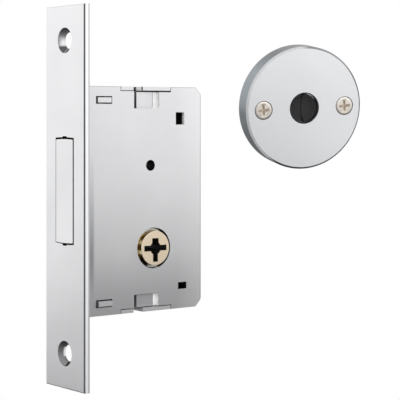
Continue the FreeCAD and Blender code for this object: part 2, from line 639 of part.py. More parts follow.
# Detent spring: a strip riveted under the top wall, its nose in the tail's notch
spring = keep(new_body("detent_spring"))
drawing = sketch_on(spring, "XZ_Plane")
polygon(drawing, [
    ("leaf_spring_rear - leaf_spring_foot", "foot_level"),
    ("leaf_spring_rear - leaf_bend + leaf_spring_thick / 2", "foot_level"),
    ("leaf_spring_rear + leaf_spring_thick", "foot_level - leaf_bend"),
    ("leaf_spring_rear - leaf_bend + leaf_spring_thick", "foot_level - leaf_drop"),
    ("detent_x + leaf_nose_rear", "nose_high"),
    ("detent_x", "nose_low"),
    ("detent_x - leaf_nose_front", "nose_high"),
    ("detent_x - leaf_nose_front + leaf_spring_thick", "nose_high + leaf_spring_thick"),
    ("detent_x", "nose_low + leaf_nose_thick"),
    ("detent_x + leaf_nose_rear - leaf_spring_thick", "nose_high + leaf_spring_thick"),
    ("leaf_spring_rear - leaf_bend", "foot_level - leaf_drop + leaf_spring_thick / 4"),
    ("leaf_spring_rear", "foot_level - leaf_bend"),
    ("leaf_spring_rear - leaf_bend", "foot_level - leaf_spring_thick"),
    ("leaf_spring_rear - leaf_spring_foot", "foot_level - leaf_spring_thick")])
pad(spring, drawing, "leaf_spring_width", midplane=True)
drawing = sketch_on(spring, "XY_Plane", "foot_level - leaf_spring_thick")
few_sided(drawing, "foot_rivet_x", "0", "foot_rivet_dia / 2")
pocket(spring, drawing, "leaf_spring_thick", reverse=True)


def standing(label, across, y, up, radius, length):
    """A small hidden pin along Z, starting at a level."""
    body = new_body(label)
    drawing = sketch_on(body, "XY_Plane", up)
    few_sided(drawing, across, y, radius)
    pad(body, drawing, length)
    return body


foot_rivet = keep(standing("detent_rivet", "foot_rivet_x", "0", "foot_level - leaf_spring_thick - foot_rivet_head",
                           "foot_rivet_dia * 0.8", "foot_rivet_head"))
drawing = sketch_on(foot_rivet, "XY_Plane", "foot_level - leaf_spring_thick")
few_sided(drawing, "foot_rivet_x", "0", "foot_rivet_dia / 2")
pad(foot_rivet, drawing, "leaf_spring_thick")

# Pin housing: two round halves with the cam between them, four pin chambers in each
CROSS = [(0, 1), (1, 0), (0, -1), (-1, 0)]
COIL_STEPS = 8
WIRE_FACES = 3
for label, start, pin_level in (("outer_housing", "inner_side", "-pin_y"), ("inner_housing", "-plane_gap / 2", "pin_y")):
    half = keep(disc(label, "axis_x", "-axis_drop", "housing_dia / 2", "rotor_r + rotor_play",
                     start, "inner_side - plane_gap / 2"))
    drawing = sketch_on(half, "XY_Plane", "-axis_drop")
    few_sided(drawing, "axis_x", pin_level, "chamber_dia / 2")
    pocket(half, drawing, "housing_dia + 2", midplane=True)
    drawing = sketch_on(half, "YZ_Plane", "axis_x")
    few_sided(drawing, pin_level, "-axis_drop", "chamber_dia / 2")
    pocket(half, drawing, "housing_dia + 2", midplane=True)
    drawing = sketch_on(half, "XZ_Plane")
    for turn in ("1", "-1"):
        few_sided(drawing, "axis_x + %s * stud_radius * sin(45deg)" % turn,
                  "-axis_drop - stud_radius * sin(45deg)", "stud_dia / 2")
    pocket(half, drawing, "case_thick + 2", midplane=True)

studs = []
for turn in ("1", "-1"):
    across = "axis_x + %s * stud_radius * sin(45deg)" % turn
    up = "-axis_drop - stud_radius * sin(45deg)"
    stud = disc("housing_stud", across, up, "stud_dia / 2", "", "inner_side", "2 * inner_side", few_sided)
    drawing = sketch_on(stud, "XZ_Plane", "plane_gap / 2")
    polygon(drawing, [("%s + stud_shoulder / 2 * cos(%ddeg)" % (across, way),
                       "%s + stud_shoulder / 2 * sin(%ddeg)" % (up, way)) for way in range(0, 360, 60)])
    pad(stud, drawing, "plane_gap", reverse=True)
    studs.append(stud)
group("housing_studs", studs)


def around_axis(make):
    """One piece for each of the eight chambers: four ways round, in both halves."""
    members = []
    for level in (-1, 1):
        for across, up in CROSS:
            members.append(make(level * size("pin_y"), FreeCAD.Vector(across, 0, up)))
    return members


def rod(label, y, way, start, length, dia):
    """A plain pin along one chamber, from a distance off the rotor axis, with few faces."""
    pin = doc.addObject("Part::Prism", label)
    pin.Polygon = PIN_FACES
    bind(pin, "Circumradius", dia + " / 2")
    bind(pin, "Height", length)
    from_axis = value_of(start)
    place = FreeCAD.Vector(size("axis_x"), y, -size("axis_drop")) + way * from_axis
    pin.Placement = FreeCAD.Placement(place, FreeCAD.Rotation(FreeCAD.Vector(0, 0, 1), way))
    return pin


def key_reach(way):
    """How far the keyway reaches towards a chamber."""
    if way.z > 0.5:
        return "key_top"
    return "key_low" if way.z < -0.5 else "key_side"


def coil(radius, wire, length, turns):
    """A coil spring standing on the origin along Z, as one unbroken tube of flat faces."""
    steps = int(round(turns * COIL_STEPS))
    rise = (length - wire) / steps
    rings = []
    for i in range(steps + 1):
        turn = 2 * math.pi * i / COIL_STEPS
        out = FreeCAD.Vector(math.cos(turn), math.sin(turn), 0)
        middle = out * radius + FreeCAD.Vector(0, 0, wire / 2 + rise * i)
        ring = []
        for j in range(WIRE_FACES):
            way = 2 * math.pi * j / WIRE_FACES
            ring.append(middle + out * (wire / 2 * math.cos(way)) + FreeCAD.Vector(0, 0, wire / 2 * math.sin(way)))
        rings.append(ring)
    outlines = [rings[0], rings[-1]]
    for low, high in zip(rings, rings[1:]):
        for j in range(WIRE_FACES):
            k = (j + 1) % WIRE_FACES
            outlines.append([low[j], low[k], high[k]])
            outlines.append([low[j], high[k], high[j]])
    shell = Part.Shell([Part.Face(Part.makePolygon(corners + corners[:1])) for corners in outlines])
    shell.sewShape()
    solid = Part.Solid(shell)
    if solid.Volume < 0:
        solid.reverse()
    return solid


def spring_piece(label, place, way, radius, wire, length, turns):
    thing = doc.addObject("Part::Feature", label)
    thing.Shape = coil(radius, wire, length, turns)
    thing.Placement = FreeCAD.Placement(place, FreeCAD.Rotation(FreeCAD.Vector(0, 0, 1), way))
    return thing


def pin_spring(y, way):
    start = size("driver_start") + size("driver_length") + size("spring_room")
    place = FreeCAD.Vector(size("axis_x"), y, -size("axis_drop")) + way * start
    radius = (size("pin_dia") - size("spring_wire")) / 2
    return spring_piece("pin_spring", place, way, radius, size("spring_wire"), size("spring_length"), size("spring_turns"))


group("driver_pins", around_axis(lambda y, way: rod("driver_pin", y, way, "driver_start", "driver_length", "pin_dia")))
group("pin_springs", around_axis(pin_spring))
group("chamber_caps", around_axis(lambda y, way: rod("chamber_cap", y, way, "cap_start", "cap_length", "chamber_dia")))
group("key_pins", around_axis(lambda y, way: rod(
    "key_pin", y, way, key_reach(way) + " + rotor_play",
    "rotor_r - rotor_play - " + key_reach(way) + " - rotor_play", "pin_dia")))

# Key rotor: a round bar through both housing halves with a cross-shaped keyway
rotor = keep(disc("key_rotor", "axis_x", "-axis_drop", "rotor_r", "", "rotor_end", "2 * rotor_end"))
KEYWAY = [
    ("-key_top_width / 2", "0", "key_top_width / 2", "key_top"),
    ("-key_low_width / 2", "-key_low", "key_low_width / 2", "0"),
    ("-key_side", "-key_side_width / 2", "key_side", "key_side_width / 2"),
]
drawing = sketch_on(rotor, "XZ_Plane")
circle(drawing, "axis_x", "-axis_drop", "key_core_dia / 2")
pocket(rotor, drawing, "2 * rotor_end + 1", midplane=True)
for left, low, right, top in KEYWAY:
    drawing = sketch_on(rotor, "XZ_Plane")
    rectangle(drawing, "axis_x + " + left, "-axis_drop + " + low, "axis_x + " + right, "-axis_drop + " + top)
    pocket(rotor, drawing, "2 * rotor_end + 1", midplane=True)
for pin_level in ("pin_y", "-pin_y"):
    drawing = sketch_on(rotor, "XY_Plane", "-axis_drop")
    few_sided(drawing, "axis_x", pin_level, "chamber_dia / 2")
    pocket(rotor, drawing, "rotor_dia + 1", midplane=True)
    drawing = sketch_on(rotor, "YZ_Plane", "axis_x")
    few_sided(drawing, pin_level, "-axis_drop", "chamber_dia / 2")
    pocket(rotor, drawing, "rotor_dia + 1", midplane=True)

# Cam: a ring keyed to the rotor, its finger leaning back while the bolt is drawn in
on_axis = FreeCAD.Vector(size("axis_x"), 0, -size("axis_drop"))
lean = FreeCAD.Rotation(FreeCAD.Vector(0, 1, 0), size("swing"))
cam = keep(disc("bolt_cam", "0", "0", "cam_ring", "rotor_r + cam_bore_play", "cam_thick / 2", "cam_thick"))
drawing = sketch_on(cam, "XZ_Plane")
polygon(drawing, [("-cam_neck - cam_root / 2", "cam_ring - cam_root"), ("cam_neck + cam_root / 2", "cam_ring - cam_root"),
                  ("cam_neck", "cam_reach"), ("-cam_neck", "cam_reach")])
pad(cam, drawing, "cam_thick", midplane=True)
drawing = sketch_on(cam, "XZ_Plane")
circle(drawing, "0", "cam_reach", "cam_tip")
pad(cam, drawing, "cam_thick", midplane=True)
drawing = sketch_on(cam, "XZ_Plane")
rectangle(drawing, "-grub_dia * 0.9", "-cam_lug", "grub_dia * 0.9", "cam_root - cam_ring")
pad(cam, drawing, "cam_thick", midplane=True)
drawing = sketch_on(cam, "XY_Plane", "-cam_lug")
few_sided(drawing, "0", "0", "grub_screw_dia / 2")
pocket(cam, drawing, "cam_lug - rotor_r", reverse=True)
cam.Placement = FreeCAD.Placement(on_axis, lean)
grub = keep(standing("cam_set_screw", "0", "0", "grub_sink - cam_lug", "grub_screw_dia / 2",
                     "cam_lug - grub_sink - rotor_r - cam_bore_play"))
grub.Placement = FreeCAD.Placement(on_axis, lean)

# Rose: modelled with its face on XZ, its depth along +Y, then set where it stands
rose_place = FreeCAD.Placement(
    FreeCAD.Vector(size("rose_x"), size("rose_y"), size("rose_z")),
    FreeCAD.Rotation(size("rose_turn_angle"), size("rose_roll_angle"), size("rose_nod_angle")))


def turned(label, corners):
    """A piece turned about the rose's own axis: corners are radius and depth."""
    body = new_body(label)
    drawing = sketch_on(body, "XY_Plane")
    polygon(drawing, corners)
    revolve(body, drawing)
    return body


def rose_screw_holes(body, radius, depth):
    drawing = sketch_on(body, "XZ_Plane")
    circle(drawing, "rose_screw_pitch / 2", "0", radius)
    circle(drawing, "-rose_screw_pitch / 2", "0", radius)
    return pocket(body, drawing, depth)


shell = keep(turned("rose_shell", [
    ("rose_hole_dia / 2", "0"), ("rose_r - rose_bevel", "0"), ("rose_r", "rose_bevel"), ("rose_r", "rose_thick"),
    ("shell_inner", "rose_thick"), ("shell_inner", "rose_wall"), ("rose_hole_dia / 2", "rose_wall")]))
rose_screw_holes(shell, "rose_shank_dia / 2 + screw_play", "rose_wall + 1")
dress(shell, "Chamfer",
      lambda e: round_edge(e, size("rose_shank_dia") / 2 + size("screw_play")) and level_at(e, "Y", 0),
      "(rose_head_dia - rose_shank_dia) / 2")
shell.Placement = rose_place

ring = keep(turned("key_hole_ring", [
    ("ring_inner", "ring_sink"), ("rose_hole_dia / 2", "ring_sink"), ("rose_hole_dia / 2", "rose_wall"),
    ("ring_inner", "rose_wall")]))
ring.Placement = rose_place

carrier = keep(new_body("shutter_carrier"))
drawing = sketch_on(carrier, "XZ_Plane", "-rose_wall")
circle(drawing, "0", "0", "core_dia / 2")
pad(carrier, drawing, "back_start - rose_wall", reverse=True)
drawing = sketch_on(carrier, "XZ_Plane", "-rose_wall")
rectangle(drawing, "-rose_screw_pitch / 2 - arm_beyond", "-arm_half_height",
          "rose_screw_pitch / 2 + arm_beyond", "arm_half_height")
pad(carrier, drawing, "back_start - rose_wall", reverse=True)
drawing = sketch_on(carrier, "XZ_Plane")
circle(drawing, "0", "0", "shell_inner - shell_gap")
circle(drawing, "0", "0", "rose_dia")
pocket(carrier, drawing, "rose_thick")
drawing = sketch_on(carrier, "XZ_Plane", "-rose_wall")
rectangle(drawing, "-well_half", "-leaf_well_height / 2", "well_half", "leaf_well_height / 2")
pocket(carrier, drawing, "rose_thick")
rose_screw_holes(carrier, "rose_shank_dia / 2 + screw_play", "rose_thick")
drawing = sketch_on(carrier, "XY_Plane")
few_sided(drawing, "leaf_axis_x", "leaf_axis_depth", "leaf_pin_dia / 2")
few_sided(drawing, "-leaf_axis_x", "leaf_axis_depth", "leaf_pin_dia / 2")
pocket(carrier, drawing, "leaf_pin_length", midplane=True)
carrier.Placement = rose_place

back = keep(disc("rose_back_plate", "0", "0", "shell_inner - shell_gap", "", "-back_start", "back_thick"))
drawing = sketch_on(back, "XZ_Plane", "-back_start")
rectangle(drawing, "-well_half", "-leaf_well_height / 2", "well_half", "leaf_well_height / 2")
pocket(back, drawing, "back_thick + 1")
rose_screw_holes(back, "rose_shank_dia / 2 + screw_play", "rose_thick + 1")
back.Placement = rose_place

# Shutter leaves: two halves of one dish, each hinged at its outer edge
for label, sign in (("left_shutter", -1), ("right_shutter", 1)):
    leaf = keep(turned(label, [
        ("0", "leaf_centre"), ("leaf_dia / 2 - leaf_slope", "leaf_centre"), ("leaf_dia / 2", "leaf_rim"),
        ("leaf_dia / 2", "leaf_rim + leaf_thick"), ("leaf_dia / 2 - leaf_slope", "leaf_centre + leaf_thick"),
        ("0", "leaf_centre + leaf_thick")]))
    drawing = sketch_on(leaf, "XZ_Plane")
    ends = ("-leaf_seam", "leaf_dia") if sign < 0 else ("-leaf_dia", "leaf_seam")
    rectangle(drawing, ends[0], "-leaf_dia", ends[1], "leaf_dia")
    pocket(leaf, drawing, "rose_thick")
    drawing = sketch_on(leaf, "XZ_Plane", "-leaf_axis_depth + leaf_barrel_dia / 2")
    ends = ("-leaf_axis_x", "-wing_reach") if sign < 0 else ("wing_reach", "leaf_axis_x")
    rectangle(drawing, ends[0], "-leaf_barrel_length / 2", ends[1], "leaf_barrel_length / 2")
    pad(leaf, drawing, "wing_thick", reverse=True)
    for radius, feature in (("leaf_barrel_dia / 2", pad), ("leaf_pin_dia / 2 + leaf_pin_play", pocket)):
        drawing = sketch_on(leaf, "XY_Plane")
        circle(drawing, "%d * leaf_axis_x" % sign, "leaf_axis_depth", radius)
        feature(leaf, drawing, "leaf_barrel_length", midplane=True)
    leaf.Placement = rose_place

pins = []
coils = []
for sign in (-1, 1):
    pins.append(standing("shutter_pin", "%d * leaf_axis_x" % sign, "leaf_axis_depth",
                         "-leaf_pin_length / 2", "leaf_pin_dia / 2", "leaf_pin_length"))
    start = size("leaf_barrel_length") / 2 + size("spring_room")
    room = size("leaf_well_height") / 2 - size("spring_room") - start
    place = FreeCAD.Vector(sign * size("leaf_axis_x"), size("leaf_axis_depth"), start)
    radius = (size("leaf_pin_dia") + size("leaf_spring_wire")) / 2 + 2 * size("leaf_pin_play")
    coils.append(spring_piece("shutter_spring", place, FreeCAD.Vector(0, 0, 1), radius,
                              size("leaf_spring_wire"), room, size("leaf_spring_turns")))
group("shutter_pins", pins).Placement = rose_place
group("shutter_springs", coils).Placement = rose_place

screws = []
for sign in (-1, 1):
    screw = turned("rose_screw", [
        ("0", "rose_head_sink"), ("rose_head_dia / 2 - rose_head_play", "rose_head_sink"),
        ("rose_neck_dia / 2", "(rose_head_dia - rose_neck_dia) / 2 + rose_head_sink"),
        ("rose_neck_dia / 2", "rose_thick + rose_neck_past"), ("rose_shank_dia / 2", "rose_thick + rose_neck_past"),
        ("rose_shank_dia / 2", "rose_screw_length"), ("0", "rose_screw_length")])
    screw.Placement = FreeCAD.Placement(FreeCAD.Vector(sign * size("rose_screw_pitch") / 2, 0, 0), FreeCAD.Rotation())
    screws.append(screw)
group("rose_screws", screws).Placement = rose_place

# The origin goes to the back face of the faceplate
home = FreeCAD.Placement(FreeCAD.Vector(-size("plate_thick"), 0, 0), FreeCAD.Rotation())
for thing in parts:
    thing.Placement = home.multiply(thing.Placement)

doc.recompute()
broken = [thing.Name for thing in doc.Objects if "Invalid" in thing.State or "Error" in thing.State]
if broken:
    raise SystemExit("not built: " + ", ".join(broken))
for thing in parts:
    shape = thing.Shape
    if shape.isNull() or not shape.isValid() or not shape.Solids:
        raise SystemExit("bad shape: " + thing.Label)
os.makedirs("parts", exist_ok=True)
for thing in parts:
    thing.Shape.exportStep("parts/%s.step" % thing.Label)
    box = thing.Shape.BoundBox
    print("%-18s %d solids %9.1f mm3  X %7.2f %7.2f  Y %7.2f %7.2f  Z %7.2f %7.2f" % (
        thing.Label, len(thing.Shape.Solids), thing.Shape.Volume,
        box.XMin, box.XMax, box.YMin, box.YMax, box.ZMin, box.ZMax))
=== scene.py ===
"""Looks for the auxiliary door lock and its loose rose: studio, camera, finishes and fine pieces."""
import math

import bmesh
import bpy
from mathutils import Matrix, Vector


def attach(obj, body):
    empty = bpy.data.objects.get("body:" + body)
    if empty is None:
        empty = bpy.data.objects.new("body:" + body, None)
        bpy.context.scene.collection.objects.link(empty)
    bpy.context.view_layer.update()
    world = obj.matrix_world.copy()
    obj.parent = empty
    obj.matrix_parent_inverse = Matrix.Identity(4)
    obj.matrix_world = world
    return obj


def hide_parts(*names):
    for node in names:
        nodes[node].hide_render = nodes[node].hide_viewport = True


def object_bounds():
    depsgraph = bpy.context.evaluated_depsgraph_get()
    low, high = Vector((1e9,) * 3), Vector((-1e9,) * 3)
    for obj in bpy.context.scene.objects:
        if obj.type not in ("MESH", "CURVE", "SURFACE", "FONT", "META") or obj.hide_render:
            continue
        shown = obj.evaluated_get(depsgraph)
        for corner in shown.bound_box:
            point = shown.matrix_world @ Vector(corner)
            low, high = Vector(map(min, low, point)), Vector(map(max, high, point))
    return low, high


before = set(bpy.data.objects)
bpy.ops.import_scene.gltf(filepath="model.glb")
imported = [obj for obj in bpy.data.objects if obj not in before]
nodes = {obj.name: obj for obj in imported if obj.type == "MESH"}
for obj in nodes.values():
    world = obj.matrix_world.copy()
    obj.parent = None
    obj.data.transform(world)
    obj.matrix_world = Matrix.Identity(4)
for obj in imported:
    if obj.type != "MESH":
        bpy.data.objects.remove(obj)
cad_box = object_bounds()
scene = bpy.context.scene
MM = 0.001

# Camera of the photograph: its frame in pixels, its place in millimetres and its turn in degrees
PHOTO_SIDE = 400.0
FOCAL_LENGTH = 1460.0
HORIZON = 115.8
SENSOR = 36.0
CAMERA_PLACE = (-248.3, -383.6, 25.25)
CAMERA_TURN = -38.0

# Greys of the studio as (place, level) stops: along the sky by the height of the direction, from 0 level
# to 1 straight up, and along the floor by the distance from the lock in metres
WHITE = (1, 1, 1, 1)
SKY_STRENGTH = 0.94
SKY_LIT = ((0.0, 0.9), (1.0, 1.0))
SKY_SHOWN = ((0.0, 0.75), (0.10, 0.76), (0.14, 0.9), (0.38, 0.9), (0.42, 1.0))
FLOOR_SHOWN = ((0.13, 0.10), (0.17, 0.20), (0.35, 0.20), (0.45, 0.35))
FLOOR_COLOUR = (0.85, 0.86, 0.87, 1)
FLOOR_REACH = 3.0
FLOOR_DROP = 0.0005

# Place, aim and width of the light panels in metres
PANELS_IN_FRONT = ((0.125, -0.135), (0.03, 0.0), 0.26)
PANELS_AT_LEFT = ((-0.09, 0.11), (0.0, 0.0), 0.16)
KEY_PANEL = ((-0.24, -0.05), (0.0, 0.0), 0.14)

# Middles of the rotor and of the rose in millimetres, and the rose's turn about X, Y and then Z in degrees
ROTOR_MIDDLE = (27.2, 0.0, -16.94)
ROSE_MIDDLE = (92.6, -6.2, 27.9)
ROSE_TURN = (8.2, -3.2, -19.2)

# Lock in millimetres: depths between the faceplate's two faces, height and reach of its screw holes, half
# widths of the bolt's window and of the bolt, and how the window's ends bow in to its corners
PLATE_DEPTHS = (-1.97, -0.05)
SCREW_HEIGHT = 48.7
SINK_REACH = 4.2
WINDOW_HALF = 5.2
BOLT_HALF = 4.95
WINDOW_BOW = 0.22
WINDOW_BEND = WINDOW_BOW / WINDOW_HALF ** 2


def studio_camera():
    """Level camera at the photograph's place, its horizon above the middle of the frame."""
    data = bpy.data.cameras.new("camera")
    data.sensor_width = SENSOR
    data.lens = FOCAL_LENGTH / PHOTO_SIDE * SENSOR
    data.shift_y = -(PHOTO_SIDE / 2 - HORIZON) / PHOTO_SIDE
    data.clip_start = 0.01
    camera = bpy.data.objects.new("camera", data)
    scene.collection.objects.link(camera)
    camera.location = [along * MM for along in CAMERA_PLACE]
    camera.rotation_euler = (math.radians(90.0), 0.0, math.radians(CAMERA_TURN))
    scene.camera = camera


def seen_directly(tree):
    """1 for the rays that show the background: the camera's, and those off or through gloss."""
    path = tree.nodes.new("ShaderNodeLightPath")
    gloss = tree.nodes.new("ShaderNodeMath")
    gloss.operation = "MAXIMUM"
    tree.links.new(path.outputs["Is Glossy Ray"], gloss.inputs[0])
    tree.links.new(path.outputs["Is Transmission Ray"], gloss.inputs[1])
    return path.outputs["Is Camera Ray"], gloss.outputs[0]


def by_ray(tree, output, lit, shown, seen):
    """Ends a tree with what lights the object, what its gloss and glass show, and what the camera sees."""
    camera_ray, gloss = seen_directly(tree)
    first = lit
    for ray, second in ((gloss, shown), (camera_ray, seen)):
        mix = tree.nodes.new("ShaderNodeMixShader")
        tree.links.new(ray, mix.inputs[0])
        tree.links.new(first.outputs[0], mix.inputs[1])
        tree.links.new(second.outputs[0], mix.inputs[2])
        first = mix
    tree.links.new(first.outputs[0], tree.nodes.new(output).inputs[0])


def grey_ramp(tree, value, stops):
    """Plain greys along a value, one for each (place, level) stop."""
    node = tree.nodes.new("ShaderNodeValToRGB")
    marks = node.color_ramp.elements
    for mark, (place, level) in ((marks[0], stops[0]), (marks[1], stops[-1])):
        mark.position = place
        mark.color = (level, level, level, 1)
    for place, level in stops[1:-1]:
        marks.new(place).color = (level, level, level, 1)
    tree.links.new(value, node.inputs[0])
    return node.outputs[0]


def studio_world():
    """White to the camera; a soft upright gradient to whatever reflects it or is lit by it."""
    world = bpy.data.worlds.new("studio")
    scene.world = world
    world.use_nodes = True
    tree = world.node_tree
    tree.nodes.clear()
    coords = tree.nodes.new("ShaderNodeTexCoord")
    split = tree.nodes.new("ShaderNodeSeparateXYZ")
    tree.links.new(coords.outputs["Generated"], split.inputs[0])
    seen = tree.nodes.new("ShaderNodeBackground")
    seen.inputs["Color"].default_value = WHITE
    shown = tree.nodes.new("ShaderNodeBackground")
    lit = tree.nodes.new("ShaderNodeBackground")
    lit.inputs["Strength"].default_value = SKY_STRENGTH
    for ground, stops in ((shown, SKY_SHOWN), (lit, SKY_LIT)):
        tree.links.new(grey_ramp(tree, split.outputs["Z"], stops), ground.inputs["Color"])
    by_ray(tree, "ShaderNodeOutputWorld", lit, shown, seen)


def studio_floor():
    """A plain pale floor that the faceplate's lower end stands on, white to the camera."""
    level = cad_box[0][2] - FLOOR_DROP
    mesh = bpy.data.meshes.new("floor")
    corners = ((-1, -1), (1, -1), (1, 1), (-1, 1))
    mesh.from_pydata([(x * FLOOR_REACH, y * FLOOR_REACH, level) for x, y in corners], [], [(0, 1, 2, 3)])
    floor = bpy.data.objects.new("floor", mesh)
    scene.collection.objects.link(floor)
    made = bpy.data.materials.new("floor_white")
    made.use_nodes = True
    tree = made.node_tree
    tree.nodes.clear()
    lit = tree.nodes.new("ShaderNodeBsdfDiffuse")
    lit.inputs["Color"].default_value = FLOOR_COLOUR
    seen = tree.nodes.new("ShaderNodeEmission")
    seen.inputs["Color"].default_value = WHITE
    shown = tree.nodes.new("ShaderNodeEmission")
    coords = tree.nodes.new("ShaderNodeTexCoord")
    reach = tree.nodes.new("ShaderNodeVectorMath")
    reach.operation = "LENGTH"
    tree.links.new(coords.outputs["Object"], reach.inputs[0])
    tree.links.new(grey_ramp(tree, reach.outputs["Value"], FLOOR_SHOWN), shown.inputs["Color"])
    by_ray(tree, "ShaderNodeOutputMaterial", lit, shown, seen)
    mesh.materials.append(made)


def card(name, place, aim, width, low, high, radiance):
    """A soft upright light panel, from one height to another, facing the aim."""
    data = bpy.data.lights.new(name, "AREA")
    data.shape = "RECTANGLE"
    data.size = width
    data.size_y = high - low
    data.energy = radiance * math.pi * width * (high - low)
    light = bpy.data.objects.new(name, data)
    light.location = (place[0], place[1], (low + high) / 2)
    towards = Vector((aim[0] - place[0], aim[1] - place[1], 0.0))
    light.rotation_euler = towards.to_track_quat("-Z", "Y").to_euler()
    scene.collection.objects.link(light)


studio_camera()
studio_world()
studio_floor()
card("front_low", *PANELS_IN_FRONT, -0.03, 0.01, 0.535)
card("front_high", *PANELS_IN_FRONT, 0.01, 0.20, 0.74)
card("left_low", *PANELS_AT_LEFT, -0.08, -0.03, 0.66)
card("left_middle", *PANELS_AT_LEFT, -0.03, 0.03, 0.59)
card("left_high", *PANELS_AT_LEFT, 0.03, 0.17, 0.50)
card("key", *KEY_PANEL, -0.06, 0.14, 0.96)
scene.view_settings.view_transform = "Standard"

# Noise values between which a finish drifts, how fine its noises are, and the height of its grain in metres
NOISE_LOW, NOISE_HIGH = 0.3, 0.7
CLOUD_DETAIL = 3.0
GRAIN_DETAIL = 4.0
GRAIN_HEIGHT = 0.0002
UPRIGHT_GRAIN = (1, 1, 0.06)

# Sockets of a Mix node: its two inputs and its result, for a colour and for a number
MIX_SOCKETS = {"RGBA": (6, 7, 2), "FLOAT": (2, 3, 0)}


def noise(tree, scale, detail, stretch=(1, 1, 1)):
    """Noise on the object's own coordinates, drawn out where the stretch is under 1."""
    coords = tree.nodes.new("ShaderNodeTexCoord")
    mapping = tree.nodes.new("ShaderNodeMapping")
    mapping.inputs["Scale"].default_value = stretch
    texture = tree.nodes.new("ShaderNodeTexNoise")
    texture.inputs["Scale"].default_value = scale
    texture.inputs["Detail"].default_value = detail
    tree.links.new(coords.outputs["Object"], mapping.inputs[0])
    tree.links.new(mapping.outputs[0], texture.inputs["Vector"])
    return texture.outputs["Fac"]


def spread(tree, value, low, high):
    """A noise brought to the range from low to high."""
    node = tree.nodes.new("ShaderNodeMapRange")
    node.inputs["From Min"].default_value = NOISE_LOW
    node.inputs["From Max"].default_value = NOISE_HIGH
    node.inputs["To Min"].default_value = low
    node.inputs["To Max"].default_value = high
    tree.links.new(value, node.inputs["Value"])
    return node.outputs[0]


def surface(name, dark, light, metallic, rough, grain=900.0, blotch=60.0, stretch=(1, 1, 1), bump=0.02,
            specular=0.5):
    """A finish whose colour and roughness drift over the surface, with a fine grain in relief."""
    made = bpy.data.materials.new(name)
    made.use_nodes = True
    tree = made.node_tree
    shader = tree.nodes["Principled BSDF"]
    shader.inputs["Metallic"].default_value = metallic
    shader.inputs["Specular IOR Level"].default_value = specular
    cloud = noise(tree, blotch, CLOUD_DETAIL)
    fine = noise(tree, grain, GRAIN_DETAIL, stretch)
    ramp = tree.nodes.new("ShaderNodeValToRGB")
    for mark, place, colour in zip(ramp.color_ramp.elements, (NOISE_LOW, NOISE_HIGH), (dark, light)):
        mark.position = place
        mark.color = (*colour, 1)
    tree.links.new(cloud, ramp.inputs[0])
    tree.links.new(ramp.outputs[0], shader.inputs["Base Color"])
    tree.links.new(spread(tree, fine, rough[0], rough[1]), shader.inputs["Roughness"])
    if bump:
        relief = tree.nodes.new("ShaderNodeBump")
        relief.inputs["Strength"].default_value = bump
        relief.inputs["Distance"].default_value = GRAIN_HEIGHT
        tree.links.new(fine, relief.inputs["Height"])
        tree.links.new(relief.outputs[0], shader.inputs["Normal"])
    return made


def ramped(tree, value, start, end):
    """0 before the start and 1 after the end in millimetres, or the other way round."""
    node = tree.nodes.new("ShaderNodeMapRange")
    node.inputs["From Min"].default_value = start * MM
    node.inputs["From Max"].default_value = end * MM
    tree.links.new(value, node.inputs["Value"])
    return node.outputs[0]


def combine(tree, operation, first, second):
    """Sum, difference or product of two values."""
    node = tree.nodes.new("ShaderNodeMath")
    node.operation = operation
    node.use_clamp = operation == "MULTIPLY"
    tree.links.new(first, node.inputs[0])
    tree.links.new(second, node.inputs[1])
    return node.outputs[0]


def both(tree, first, second):
    """1 where both masks are 1."""
    return combine(tree, "MULTIPLY", first, second)


def place_in(tree, middle=None, turn=(0.0, 0.0, 0.0)):
    """x, y and z of the surface in the lock's frame, or in the frame of a piece with a middle and a turn."""
    coords = tree.nodes.new("ShaderNodeTexCoord")
    split = tree.nodes.new("ShaderNodeSeparateXYZ")
    source = coords.outputs["Object"]
    if middle:
        mapping = tree.nodes.new("ShaderNodeMapping")
        mapping.vector_type = "TEXTURE"
        mapping.inputs["Location"].default_value = [along * MM for along in middle]
        mapping.inputs["Rotation"].default_value = [math.radians(angle) for angle in turn]
        tree.links.new(source, mapping.inputs[0])
        source = mapping.outputs[0]
    tree.links.new(source, split.inputs[0])
    return dict(zip("xyz", split.outputs))


def span_of(tree, axes):
    """Distance from the Y axis."""
    flat = tree.nodes.new("ShaderNodeCombineXYZ")
    tree.links.new(axes["x"], flat.inputs[0])
    tree.links.new(axes["z"], flat.inputs[2])
    span = tree.nodes.new("ShaderNodeVectorMath")
    span.operation = "LENGTH"
    tree.links.new(flat.outputs[0], span.inputs[0])
    return span.outputs["Value"]


def within(tree, axes, limits, soft=0.02):
    """1 inside limits such as {"x": (low, high)}, None where open, and 0 outside, in millimetres."""
    mask = None
    for axis, (low, high) in limits.items():
        sides = []
        if low is not None:
            sides.append(ramped(tree, axes[axis], low - soft, low + soft))
        if high is not None:
            sides.append(ramped(tree, axes[axis], high + soft, high - soft))
        for side in sides:
            mask = side if mask is None else both(tree, mask, side)
    return mask


def layer(made, mask, colour, rough, metallic, amount=1.0):
    """Lays another finish over a material where the mask is 1."""
    tree = made.node_tree
    shader = tree.nodes["Principled BSDF"]
    share = tree.nodes.new("ShaderNodeMath")
    share.operation = "MULTIPLY"
    share.inputs[1].default_value = amount
    tree.links.new(mask, share.inputs[0])
    for name, value in (("Base Color", (*colour, 1)), ("Roughness", rough), ("Metallic", metallic)):
        socket = shader.inputs[name]
        mix = tree.nodes.new("ShaderNodeMix")
        mix.data_type = "RGBA" if name == "Base Color" else "FLOAT"
        first, second, out = MIX_SOCKETS[mix.data_type]
        if socket.is_linked:
            tree.links.new(socket.links[0].from_socket, mix.inputs[first])
        else:
            mix.inputs[first].default_value = socket.default_value
        mix.inputs[second].default_value = value
        tree.links.new(share.outputs[0], mix.inputs[0])
        tree.links.new(mix.outputs[out], socket)


